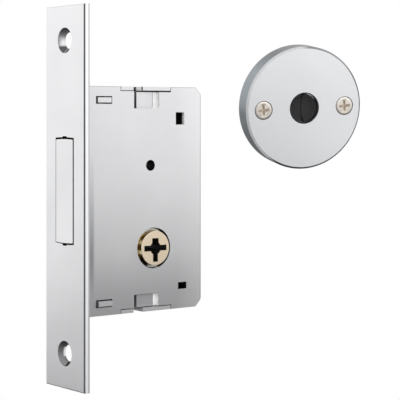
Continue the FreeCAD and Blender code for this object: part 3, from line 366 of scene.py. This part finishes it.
def patch(made, axes, limits, colour, rough, metallic, soft=0.02, amount=1.0):
    """Lays another finish over a material inside limits, as within takes them."""
    layer(made, within(made.node_tree, axes, limits, soft), colour, rough, metallic, amount)


# Tones that several places share, as colour, roughness and metallic: a painted white highlight, painted shade
# on walls and a painted shadow line; and how much blue a grey hole has
WHITE_GLARE = ((0.99, 0.99, 0.99), 0.6, 0.0)
PAINTED_WALL_SHADE = ((0.012, 0.012, 0.012), 0.6, 1.0)
PAINTED_SHADOW_LINE = ((0.006, 0.006, 0.006), 0.6, 1.0)
BLUISH = 1.02


def countersink(made, axes, middle, tone):
    """A screw hole in the faceplate, painted grey and darker at its top as painted shade, with a black wedge
    of painted shadow at its top and at its foot.
    """
    tree = made.node_tree
    reach = {"y": (-SINK_REACH, SINK_REACH), "z": (middle - SINK_REACH, middle + SINK_REACH)}
    sink = within(tree, axes, {"x": PLATE_DEPTHS, **reach})
    # painted shade: the hole's grey, then darker at its top
    layer(made, sink, (tone, tone, tone * BLUISH), 0.6, 0.7)
    top = ramped(tree, axes["z"], middle + 1.0, middle + 3.4)
    layer(made, both(tree, sink, top), (0.08, 0.08, 0.082), 0.5, 0.8)
    # painted shadow: a black wedge at the top and at the foot
    for side, start, end in ((-0.5, 1.6, 2.1), (0.0, -2.0, -2.5)):
        wedge = both(tree, sink, ramped(tree, axes["z"], middle + start, middle + end))
        wedge = both(tree, wedge, ramped(tree, axes["y"], side + 0.3, side - 0.3))
        layer(made, wedge, (0.01, 0.01, 0.01), 0.5, 1.0)


def arched_heights(tree, axes):
    """Height above the arch of the window's top, and above that of its foot."""
    bend = tree.nodes.new("ShaderNodeMath")
    bend.operation = "MULTIPLY"
    bend.inputs[1].default_value = WINDOW_BEND / MM
    tree.links.new(combine(tree, "MULTIPLY", axes["y"], axes["y"]), bend.inputs[0])
    high = combine(tree, "ADD", axes["z"], bend.outputs[0])
    low = combine(tree, "SUBTRACT", axes["z"], bend.outputs[0])
    return high, low


def window_lines(made, axes, half, walls, top, foot):
    """Painted shade on the walls and a painted shadow line at the front of each arched end, the lower one
    fading to the far side.
    """
    tree = made.node_tree
    inner = within(tree, axes, {"y": (-half - 0.02, half + 0.02)})
    # painted shade on the window's walls
    layer(made, walls, *PAINTED_WALL_SHADE)
    # painted shadow lines at the front of the arched ends
    ends = both(tree, inner, ramped(tree, axes["x"], -1.0, -1.1))
    layer(made, both(tree, ends, top), *PAINTED_SHADOW_LINE)
    faded = both(tree, foot, ramped(tree, axes["y"], 3.0, -2.0))
    layer(made, both(tree, ends, faded), *PAINTED_SHADOW_LINE)


def plate_nickel():
    """Faceplate: polished below its front face and in the countersinks, paler low down as painted light, with
    painted shade in the countersinks, painted highlights and shade round them, a painted highlight along its
    long edge, and painted shade and shadow lines in the bolt's window.
    """
    made = surface("satin_nickel", (0.72, 0.72, 0.73), (0.76, 0.76, 0.77), 0.75, (0.33, 0.38),
                   stretch=UPRIGHT_GRAIN, bump=0.006)
    tree = made.node_tree
    axes = place_in(tree)
    # painted light: paler low down
    painted_shading_low_down = ramped(tree, axes["z"], -30.0, -48.0)
    layer(made, painted_shading_low_down, (0.80, 0.80, 0.81), 0.38, 0.57)
    patch(made, axes, {"x": PLATE_DEPTHS}, (0.74, 0.74, 0.76), 0.22, 1.0)
    # painted shade in the screw holes, the lower one darker
    countersink(made, axes, SCREW_HEIGHT, 0.44)
    countersink(made, axes, -SCREW_HEIGHT, 0.26)
    # painted highlights, as the gleam and the glares, and painted shade round the screw holes
    upper_gleam = {"x": (-1.9, -0.05), "y": (0.0, 3.3), "z": (47.4, 49.7)}
    upper_glare = {"x": (-1.7, -0.05), "y": (0.0, 3.2), "z": (47.3, 48.8)}
    upper_shade = {"x": PLATE_DEPTHS, "y": (0.6, 4.2), "z": (44.5, 46.95)}
    lower_glare = {"x": (-0.65, -0.05), "y": (0.3, 4.2), "z": (-49.9, -46.9)}
    patch(made, axes, upper_gleam, (0.70, 0.70, 0.71), 0.6, 0.1, soft=0.5)
    patch(made, axes, upper_glare, (0.95, 0.95, 0.96), 0.6, 0.0, soft=0.4)
    patch(made, axes, upper_shade, (0.12, 0.12, 0.125), 0.5, 0.8)
    patch(made, axes, lower_glare, *WHITE_GLARE, soft=0.2)
    # painted shade on the front bevel, a painted highlight along the long edge and painted shade along the
    # rear edge
    painted_bevel_shade = {"x": (-1.98, -1.55), "y": (None, -10.6)}
    painted_edge_highlight = {"x": (-1.55, -0.50), "y": (None, -10.97)}
    painted_rear_shade = {"x": (-0.45, -0.05), "y": (None, -10.97)}
    patch(made, axes, painted_bevel_shade, (0.08, 0.08, 0.085), 0.7, 0.1)
    patch(made, axes, painted_edge_highlight, *WHITE_GLARE, soft=0.1)
    patch(made, axes, painted_rear_shade, (0.42, 0.42, 0.43), 0.6, 0.3, soft=0.05)
    # painted shadow lines at the window's arched ends and painted shade on its walls
    high, low = arched_heights(tree, axes)
    top = both(tree, ramped(tree, high, 18.64, 18.60), ramped(tree, high, 18.3, 18.35))
    foot = both(tree, ramped(tree, low, -14.84, -14.80), ramped(tree, low, -14.4, -14.45))
    walls = within(tree, axes, {"x": PLATE_DEPTHS, "y": (-5.3, 5.3), "z": (-15.3, 19.1)})
    window_lines(made, axes, WINDOW_HALF, walls, top, foot)
    return made


def bolt_nickel():
    """Bolt head: paler low down as painted light, painted shade on its sides, and a painted shadow line at
    the front along its ends and near side.
    """
    made = surface("bolt_nickel", (0.70, 0.70, 0.71), (0.74, 0.74, 0.75), 0.75, (0.30, 0.36),
                   stretch=UPRIGHT_GRAIN, bump=0.006)
    tree = made.node_tree
    axes = place_in(tree)
    high, low = arched_heights(tree, axes)
    # painted light: paler low down
    painted_shading_low_down = ramped(tree, axes["z"], 6.0, -14.0)
    layer(made, painted_shading_low_down, (0.80, 0.80, 0.81), 0.33, 0.75)
    # painted shadow line along the front of the near side
    painted_near_side_shadow = both(tree, within(tree, axes, {"y": (None, -4.55)}), ramped(tree, axes["x"], -1.0, -1.1))
    layer(made, painted_near_side_shadow, (0.015, 0.015, 0.015), 0.6, 1.0)
    # painted shade on the sides and painted shadow lines at the arched ends
    walls = within(tree, axes, {"x": (-1.97, -1.0)})
    top = ramped(tree, high, 17.99, 18.03)
    foot = ramped(tree, low, -14.24, -14.28)
    window_lines(made, axes, BOLT_HALF, walls, top, foot)
    return made


def shutter_plastic():
    """Shutter leaves: dull black, with painted shade on the left one for the ring's shade."""
    made = surface("shutter_black", (0.035, 0.035, 0.035), (0.042, 0.042, 0.042), 0.0, (0.6, 0.7), bump=0.0,
                   specular=0.1)
    tree = made.node_tree
    axes = place_in(tree, ROSE_MIDDLE, ROSE_TURN)
    # painted shade: a tone of its own on the left leaf
    left_leaf = ramped(tree, axes["x"], 0.05, -0.05)
    layer(made, left_leaf, (0.036, 0.036, 0.036), 0.65, 0.0)
    return made


def gold_gleams(made):
    """Two painted gold gleams on the side towards the faceplate."""
    axes = place_in(made.node_tree)
    for heights in ((-15.4, -13.6), (-18.7, -17.5)):
        patch(made, axes, {"x": (None, 22.3), "z": heights}, (1.0, 0.86, 0.52), 0.5, 0.1, soft=0.4)


def rotor_side_brass():
    """Round side of the rotor: polished brass, with painted gold gleams."""
    made = surface("rotor_side", (0.50, 0.36, 0.14), (0.66, 0.50, 0.24), 1.0, (0.10, 0.16), bump=0.0)
    gold_gleams(made)
    return made


def collar_brass():
    """Collar round the rotor: gold towards the faceplate, painted shade elsewhere and at its foot, painted
    gold gleams, and two pale crescents of painted highlight.
    """
    made = surface("collar_brass_painted_shade", (0.50, 0.34, 0.10), (0.85, 0.62, 0.25), 0.8, (0.2, 0.35), blotch=500,
                   bump=0.0)
    tree = made.node_tree
    # painted shade away from the faceplate
    painted_shade_away_from_plate = ramped(tree, place_in(tree)["x"], 23.0, 24.6)
    layer(made, painted_shade_away_from_plate, (0.012, 0.010, 0.006), 0.4, 0.5)
    gold_gleams(made)
    axes = place_in(tree, ROTOR_MIDDLE)
    # painted shade at the foot
    foot = ramped(tree, axes["z"], -2.46, -3.66)
    layer(made, foot, (0.02, 0.014, 0.006), 0.4, 0.5)
    # two pale crescents of painted highlight on the ring round the rotor
    ring = within(tree, {"span": span_of(tree, axes)}, {"span": (5.6, 6.2)}, 0.08)
    for limits in ({"x": (-3.6, 3.0), "z": (3.6, None)}, {"x": (-1.6, 3.0), "z": (None, -4.6)}):
        layer(made, both(tree, ring, within(tree, axes, limits, 0.4)), (0.80, 0.78, 0.74), 0.5, 0.1)
    return made


def rose_nickel():
    """Rose: paler low down as painted light, a blue tint and painted shade on its rim, painted shade in the
    countersinks below its face, and a bevel with a painted highlight at upper left and painted shade at
    right.
    """
    made = surface("rose_satin", (0.73, 0.74, 0.755), (0.76, 0.77, 0.785), 0.5, (0.27, 0.27), grain=120,
                   bump=0.0)
    tree = made.node_tree
    axes = place_in(tree, ROSE_MIDDLE, ROSE_TURN)
    radius = span_of(tree, axes)
    across = combine(tree, "SUBTRACT", axes["x"], axes["z"])
    # painted light: paler low down
    painted_shading_low_down = ramped(tree, axes["z"], 2.0, -20.0)
    layer(made, painted_shading_low_down, (0.83, 0.84, 0.855), 0.27, 0.5)
    # painted shade below the face, in the countersinks
    painted_shade_below_face = both(tree, within(tree, axes, {"y": (0.05, None)}), ramped(tree, radius, 20.7, 20.6))
    layer(made, painted_shade_below_face, (0.10, 0.10, 0.10), 0.5, 0.5)
    # the bevel: painted shade at right, darkest at lower right, and a painted highlight at upper left
    bevel = both(tree, ramped(tree, radius, 20.78, 20.82), ramped(tree, axes["y"], 0.72, 0.68))
    right = ramped(tree, axes["x"], -2.0, 2.0)
    painted_shade_lower_right = ramped(tree, across, 2.0, 8.0)
    painted_highlight_upper_left = both(tree, ramped(tree, axes["x"], 0.0, -3.0), ramped(tree, across, -2.0, -8.0))
    layer(made, both(tree, bevel, right), (0.24, 0.24, 0.25), 0.4, 0.5)
    layer(made, both(tree, bevel, painted_shade_lower_right), (0.08, 0.08, 0.09), 0.4, 0.5)
    layer(made, both(tree, bevel, painted_highlight_upper_left), (0.60, 0.60, 0.61), 0.4, 0.3)
    # the rim: a blue tint of its own with painted shade, lighter low down as painted light and darkest at the
    # top as painted shade
    rim = ramped(tree, axes["y"], 0.68, 0.72)
    painted_light_low_rim = both(tree, rim, within(tree, axes, {"z": (-14.0, -2.5)}, 1.5))
    painted_shade_top_rim = both(tree, rim, ramped(tree, axes["z"], 13.0, 19.0))
    layer(made, rim, (0.30, 0.34, 0.365), 0.30, 0.9)
    layer(made, painted_light_low_rim, (0.37, 0.40, 0.42), 0.30, 0.9)
    layer(made, painted_shade_top_rim, (0.12, 0.13, 0.14), 0.30, 0.9)
    return made


def zinc_sheet(name):
    """Zinc-plated sheet metal."""
    return surface(name, (0.64, 0.64, 0.65), (0.68, 0.68, 0.69), 0.8, (0.36, 0.42), blotch=45, bump=0.006)


def cover_zinc():
    """Case cover: painted shade on its cut edges and corner, painted light on the rear walls of the pockets,
    and painted shade of the plate along the front, with painted shading darker low down and paler at the
    rear, and painted highlights and shadow lines round the notch and pockets.
    """
    made = zinc_sheet("cover_zinc")
    tree = made.node_tree
    axes = place_in(tree)
    # painted shade: the plate's shade along the front
    plate_shade = both(tree, ramped(tree, axes["x"], 4.7, 3.7), ramped(tree, axes["z"], 14.0, -24.0))
    # painted shading: darker low down and paler at the rear
    painted_shading_low_down = ramped(tree, axes["z"], -18.0, -31.0)
    rear = ramped(tree, axes["x"], 36.0, 46.0)
    layer(made, plate_shade, (0.14, 0.14, 0.145), 0.36, 0.8, amount=0.72)
    layer(made, painted_shading_low_down, (0.54, 0.54, 0.55), 0.38, 0.8)
    layer(made, rear, (0.72, 0.72, 0.73), 0.38, 0.8, amount=0.8)
    # painted shade on the cut edges, a painted highlight on the notch's edge and painted light on the
    # pockets' rear walls
    painted_shade_cut_edges = {"x": (None, 45.3), "y": (-6.97, -5.62)}
    painted_highlight_notch_edge = {"x": (14.0, 20.0), "y": (-6.98, -5.0), "z": (32.9, 33.3)}
    painted_light_pocket_walls = {"x": (27.9, 29.3), "y": (-6.9, -5.4)}
    patch(made, axes, painted_shade_cut_edges, (0.06, 0.06, 0.065), 0.4, 0.8)
    patch(made, axes, painted_highlight_notch_edge, (0.80, 0.80, 0.81), 0.5, 0.2)
    patch(made, axes, painted_light_pocket_walls, (1.0, 1.0, 1.0), 0.6, 0.0)
    # painted shade lines beside the pockets' rear walls
    for line in ((27.62, 27.92), (29.12, 29.36)):
        painted_shade_wall_line = {"x": line, "y": (None, -5.4), "z": (28.2, 32.8)}
        patch(made, axes, painted_shade_wall_line, (0.44, 0.44, 0.45), 0.5, 0.3)
    # painted shadow lines under the notch and at the lower pocket's top, painted light on the hole's wall and
    # painted shade on the top bend
    painted_shadow_notch_foot = {"x": (20.2, 33.9), "y": (None, -5.5), "z": (32.8, 33.06)}
    painted_shadow_lower_pocket = {"x": (19.6, 28.9), "z": (-31.70, -31.38)}
    painted_light_hole_wall = {"x": (39.4, 39.6), "y": (-6.97, -5.0), "z": (22.0, 27.0)}
    painted_shade_top_bend = {"z": (34.3, None), "y": (None, -6.9)}
    patch(made, axes, painted_shadow_notch_foot, (0.03, 0.03, 0.03), 0.5, 0.5)
    patch(made, axes, painted_shadow_lower_pocket, (0.06, 0.06, 0.06), 0.5, 0.5)
    patch(made, axes, painted_light_hole_wall, (0.97, 0.97, 0.98), 0.6, 0.0)
    patch(made, axes, painted_shade_top_bend, (0.25, 0.25, 0.26), 0.3, 1.0, soft=0.05, amount=0.6)
    # painted shade along the cut corner
    painted_shade_cut_corner = ramped(tree, combine(tree, "ADD", axes["x"], axes["z"]), 78.2, 78.4)
    layer(made, painted_shade_cut_corner, (0.25, 0.25, 0.26), 0.36, 0.8, amount=0.8)
    return made


def tray_zinc():
    """Case tray: painted shade inside, and the end of the slot in its tongue a painted highlight between two
    marks of painted shade.
    """
    made = zinc_sheet("tray_zinc")
    axes = place_in(made.node_tree)
    # painted shade inside the tray
    inside = {"y": (-5.6, 5.82), "z": (-35.7, 33.2)}
    patch(made, axes, inside, (0.05, 0.05, 0.055), 0.5, 0.6)
    slot_end = (22.85, 22.95)
    pale = {"x": slot_end, "y": (-6.2, -3.2), "z": (32.9, None)}
    painted_shade_near_mark = {"x": slot_end, "y": (-6.9, -6.2), "z": (33.5, None)}
    painted_shade_far_mark = {"x": slot_end, "y": (-3.2, None), "z": (32.9, None)}
    # painted highlight at the slot's end between two marks of painted shade
    patch(made, axes, pale, (0.98, 0.98, 0.98), 0.6, 0.0)
    patch(made, axes, painted_shade_near_mark, (0.04, 0.04, 0.04), 0.6, 0.0)
    patch(made, axes, painted_shade_far_mark, (0.02, 0.02, 0.02), 0.6, 0.0)
    return made


zinc = zinc_sheet("zinc_sheet")
steel = surface("turned_steel", (0.40, 0.40, 0.42), (0.50, 0.50, 0.52), 1.0, (0.30, 0.42))
dark_steel = surface("dark_steel", (0.10, 0.10, 0.11), (0.16, 0.16, 0.17), 1.0, (0.35, 0.5))
spring_steel = surface("spring_steel", (0.30, 0.31, 0.34), (0.38, 0.39, 0.42), 1.0, (0.28, 0.38))
brass = surface("brass", (0.62, 0.44, 0.20), (0.72, 0.52, 0.26), 1.0, (0.28, 0.38))
rotor_brass = surface("rotor_brass", (0.81, 0.675, 0.50), (0.87, 0.74, 0.565), 0.7, (0.34, 0.42), bump=0.01)
rotor_side = rotor_side_brass()
# painted shade on the walls of the keyway
keyway_painted_shade = surface("keyway_painted_shade", (0.010, 0.008, 0.006), (0.016, 0.012, 0.009), 0.2, (0.5, 0.65), bump=0.0)
screw_nickel = surface("screw_nickel", (0.75, 0.70, 0.63), (0.83, 0.78, 0.72), 0.8, (0.26, 0.34), bump=0.01)
# painted shade in the screws' cross recesses
recess_painted_shade = surface("recess_painted_shade", (0.50, 0.42, 0.33), (0.62, 0.53, 0.43), 0.3, (0.3, 0.4), bump=0.0)
black = surface("black_plastic", (0.020, 0.020, 0.021), (0.032, 0.032, 0.034), 0.0, (0.5, 0.6), bump=0.05,
                specular=0.2)
shutter_black = shutter_plastic()

FINISH = {
    "faceplate": plate_nickel(), "front_bracket": zinc, "case_cover": cover_zinc(), "case_tray": tray_zinc(),
    "guide_post": dark_steel, "bolt_head": bolt_nickel(), "bolt_tail": steel, "bolt_rivets": steel,
    "detent_spring": spring_steel, "detent_rivet": steel, "outer_housing": collar_brass(),
    "inner_housing": brass, "housing_studs": steel, "driver_pins": brass, "pin_springs": spring_steel,
    "chamber_caps": brass, "key_pins": brass, "key_rotor": rotor_brass, "bolt_cam": steel,
    "cam_set_screw": dark_steel, "rose_shell": rose_nickel(), "key_hole_ring": black,
    "shutter_carrier": black, "rose_back_plate": zinc, "left_shutter": black, "right_shutter": black,
    "shutter_pins": steel, "shutter_springs": spring_steel, "rose_screws": screw_nickel,
}
for name, finish in FINISH.items():
    thing = nodes[name]
    thing.data.materials.clear()
    thing.data.materials.append(finish)


# Fine pieces: angle from which an edge is sharp in degrees, and distances that count as none in metres
SHARP_ANGLE = 30.0
MERGE = 1e-7
NEAR = 1e-6


def seat(middle, turn=(0.0, 0.0, 0.0)):
    """Matrix that turns a piece about X, Y and then Z and moves it to its middle."""
    place = Matrix.Translation(Vector(middle) * MM)
    for angle, axis in zip(reversed(turn), "ZYX"):
        place = place @ Matrix.Rotation(math.radians(angle), 4, axis)
    return place


def piece(name, mesh, place, body, finishes, stands_for):
    """Makes the finished object: faces outward, sharp where its edges are, riding on its body."""
    bmesh.ops.transform(mesh, matrix=place, verts=mesh.verts)
    bmesh.ops.recalc_face_normals(mesh, faces=mesh.faces)
    data = bpy.data.meshes.new(name)
    mesh.to_mesh(data)
    mesh.free()
    for finish in finishes:
        data.materials.append(finish)
    for face in data.polygons:
        face.use_smooth = True
    data.set_sharp_from_angle(angle=math.radians(SHARP_ANGLE))
    thing = bpy.data.objects.new(name, data)
    scene.collection.objects.link(thing)
    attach(thing, body)
    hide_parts(stands_for)


def turned(mesh, profile, steps):
    """Turns a profile of radius and depth points, in millimetres, round the Y axis."""
    points = [mesh.verts.new(Vector((radius, depth, 0.0)) * MM) for radius, depth in profile]
    line = [mesh.edges.new(pair) for pair in zip(points, points[1:])]
    bmesh.ops.spin(mesh, geom=points + line, axis=(0, 1, 0), cent=(0, 0, 0), angle=2 * math.pi, steps=steps,
                   use_merge=True)
    bmesh.ops.remove_doubles(mesh, verts=mesh.verts, dist=MERGE)


def rim_edges(mesh, depth):
    """The open edges that lie at a depth."""
    return [e for e in mesh.edges if e.is_boundary and all(abs(v.co.y - depth * MM) < NEAR for v in e.verts)]


def outline(mesh, points, depth):
    """Closed outline through (x, z) points at a depth."""
    corners = [mesh.verts.new(Vector((x, depth, z)) * MM) for x, z in points]
    return [mesh.edges.new(pair) for pair in zip(corners, corners[1:] + corners[:1])]


def sunk(mesh, edges, deeper, scale):
    """Walls down from an outline, drawn in to a scale; gives back the wall faces and the new outline."""
    made = bmesh.ops.extrude_edge_only(mesh, edges=edges)["geom"]
    corners = [g for g in made if isinstance(g, bmesh.types.BMVert)]
    middle = sum((v.co for v in corners), Vector()) / len(corners)
    bmesh.ops.scale(mesh, vec=(scale, 1, scale), verts=corners, space=Matrix.Translation(-middle))
    bmesh.ops.translate(mesh, vec=(0, deeper * MM, 0), verts=corners)
    lower = [g for g in made if isinstance(g, bmesh.types.BMEdge) and all(v in corners for v in g.verts)]
    return [g for g in made if isinstance(g, bmesh.types.BMFace)], lower


def keyway_points():
    """The cross keyway: a round core with a short broad arm up and three long ones."""
    core = 2.05
    arms = ((0, 0.825, 4.3), (90, 1.2, 3.1), (180, 0.825, 4.3), (270, 0.88, 4.3))
    points = []
    for turn, half, reach in arms:
        along = Vector((math.cos(math.radians(turn)), math.sin(math.radians(turn))))
        across = Vector((-along.y, along.x))
        start = math.sqrt(core * core - half * half)
        for far, side in ((start, -half), (reach, -half), (reach, half), (start, half)):
            points.append(along * far + across * side)
        middle = Vector((math.cos(math.radians(turn + 45)), math.sin(math.radians(turn + 45))))
        points.append(middle * core)
    return points


def key_rotor():
    """Rotor with rounded rims and a bevelled cross keyway right through it."""
    radius, end, rim = 5.5, 7.9, 0.12
    shoulder = end - rim
    past_shoulder = shoulder + 0.01
    rounding = 0.1
    mouth_bevel = 0.07
    finishes = [rotor_brass, keyway_painted_shade, rotor_side]
    mesh = bmesh.new()
    profile = [(radius - rim, -end), (radius, -shoulder), (radius, shoulder), (radius - rim, end)]
    turned(mesh, profile, steps=96)
    corners = [e for e in mesh.edges if all(abs(abs(v.co.y) - shoulder * MM) < NEAR for v in e.verts)]
    bmesh.ops.bevel(mesh, geom=corners, offset=rounding * MM, segments=3, profile=0.5, affect="EDGES",
                    material=-1)
    for face in mesh.faces:
        on_side = all(abs(v.co.y) < past_shoulder * MM for v in face.verts)
        face.material_index = finishes.index(rotor_side if on_side else rotor_brass)
    mouths = []
    for depth in (-end, end):
        mouth = outline(mesh, keyway_points(), depth)
        bmesh.ops.triangle_fill(mesh, use_beauty=True, edges=rim_edges(mesh, depth) + mouth)
        mouths += mouth
    walls = bmesh.ops.bridge_loops(mesh, edges=mouths)["faces"]
    # painted shade on the keyway's walls
    for face in walls:
        face.material_index = finishes.index(keyway_painted_shade)
    bmesh.ops.bevel(mesh, geom=mouths, offset=mouth_bevel * MM, segments=1, profile=0.5, affect="EDGES",
                    material=-1)
    piece("key_rotor_turned", mesh, seat(ROTOR_MIDDLE), "rotor", finishes, "key_rotor")


def screw_profile():
    """Radius and depth points of a screw: rounded head, neck and ridged thread."""
    neck, crest = 1.45, 1.75
    thread_start, thread_end, pitch = 8.0, 11.3, 0.6
    profile = [(2.55, 0.05), (2.85, 0.08), (3.02, 0.15), (3.1, 0.27), (neck, 1.85), (neck, thread_start)]
    depth = thread_start
    while depth < thread_end:
        profile += [(crest, depth + 0.15), (crest, depth + 0.25), (neck, depth + 0.5)]
        depth += pitch
    return profile + [(1.3, 12.0), (0.0, 12.0)]


def rose_screws():
    """Two countersunk cross-head screws with rounded rims and a ridged thread."""
    face_depth = 0.05
    from_middle = 15.2
    half, reach = 0.46, 2.2
    cross_turn = -3.0
    finishes = [screw_nickel, recess_painted_shade]
    mesh = bmesh.new()
    turned(mesh, screw_profile(), steps=48)
    points = [(half, half), (half, reach), (-half, reach), (-half, half), (-reach, half), (-reach, -half),
              (-half, -half), (-half, -reach), (half, -reach), (half, -half), (reach, -half), (reach, half)]
    cross = outline(mesh, points, face_depth)
    bmesh.ops.triangle_fill(mesh, use_beauty=True, edges=rim_edges(mesh, face_depth) + cross)
    walls, lower = sunk(mesh, cross, deeper=0.15, scale=0.88)
    lower_walls, lowest = sunk(mesh, lower, deeper=0.6, scale=0.6)
    floor = bmesh.ops.contextual_create(mesh, geom=lowest)["faces"]
    # painted shade in the cross recess
    for face in walls + lower_walls + floor:
        face.material_index = finishes.index(recess_painted_shade)
    bmesh.ops.rotate(mesh, cent=(0, 0, 0), matrix=Matrix.Rotation(math.radians(cross_turn), 3, "Y"),
                     verts=mesh.verts)
    second = bmesh.ops.duplicate(mesh, geom=mesh.verts[:] + mesh.edges[:] + mesh.faces[:])["geom"]
    copied = [g for g in second if isinstance(g, bmesh.types.BMVert)]
    first = list(set(mesh.verts) - set(copied))
    bmesh.ops.translate(mesh, vec=(from_middle * MM, 0, 0), verts=first)
    bmesh.ops.translate(mesh, vec=(-from_middle * MM, 0, 0), verts=copied)
    piece("rose_cross_screws", mesh, seat(ROSE_MIDDLE, ROSE_TURN), "case", finishes, "rose_screws")


def shutter(name, side, body):
    """One half of the dished shutter, with the wing and barrel that it turns on."""
    front = [(0.0, 3.1), (2.4, 3.1), (2.8, 3.04), (3.2, 2.85), (3.6, 2.53), (4.2, 1.96), (4.75, 1.44),
             (4.93, 1.3), (5.0, 1.32)]
    back = [(5.0, 2.9), (4.2, 3.4), (3.6, 3.7), (3.2, 3.85), (2.8, 3.96), (2.4, 4.0), (0.0, 4.0)]
    parting_from_middle, parting_lean = 0.16, 0.127
    hinge_from_middle, hinge_depth = 6.5, 2.85
    barrel_radius, barrel_length = 0.95, 5.2
    wing_from_middle, wing_depth = 5.2, 2.35
    wing_width, wing_thickness = 2.2, 0.9
    mesh = bmesh.new()
    turned(mesh, front + back, steps=64)
    parting = (side * parting_from_middle * MM, hinge_depth * MM, 0)
    lean = Vector((side, parting_lean, 0.0)).normalized()
    bmesh.ops.bisect_plane(mesh, geom=mesh.verts[:] + mesh.edges[:] + mesh.faces[:], dist=MERGE,
                           plane_co=parting, plane_no=lean, clear_inner=True)
    bmesh.ops.triangle_fill(mesh, use_beauty=True, edges=[e for e in mesh.edges if e.is_boundary])
    barrel = Matrix.Translation(Vector((side * hinge_from_middle, hinge_depth, 0.0)) * MM)
    bmesh.ops.create_cone(mesh, cap_ends=True, segments=32, radius1=barrel_radius * MM,
                          radius2=barrel_radius * MM, depth=barrel_length * MM, matrix=barrel)
    wing = Matrix.Translation(Vector((side * wing_from_middle, wing_depth, 0.0)) * MM)
    wing = wing @ Matrix.Diagonal((wing_width * MM, wing_thickness * MM, barrel_length * MM, 1.0))
    bmesh.ops.create_cube(mesh, size=1.0, matrix=wing)
    stands_for = "left_shutter" if side < 0 else "right_shutter"
    piece(name, mesh, seat(ROSE_MIDDLE, ROSE_TURN), body, [shutter_black], stands_for)


key_rotor()
rose_screws()
shutter("left_shutter_dish", -1, "left_leaf")
shutter("right_shutter_dish", 1, "right_leaf")
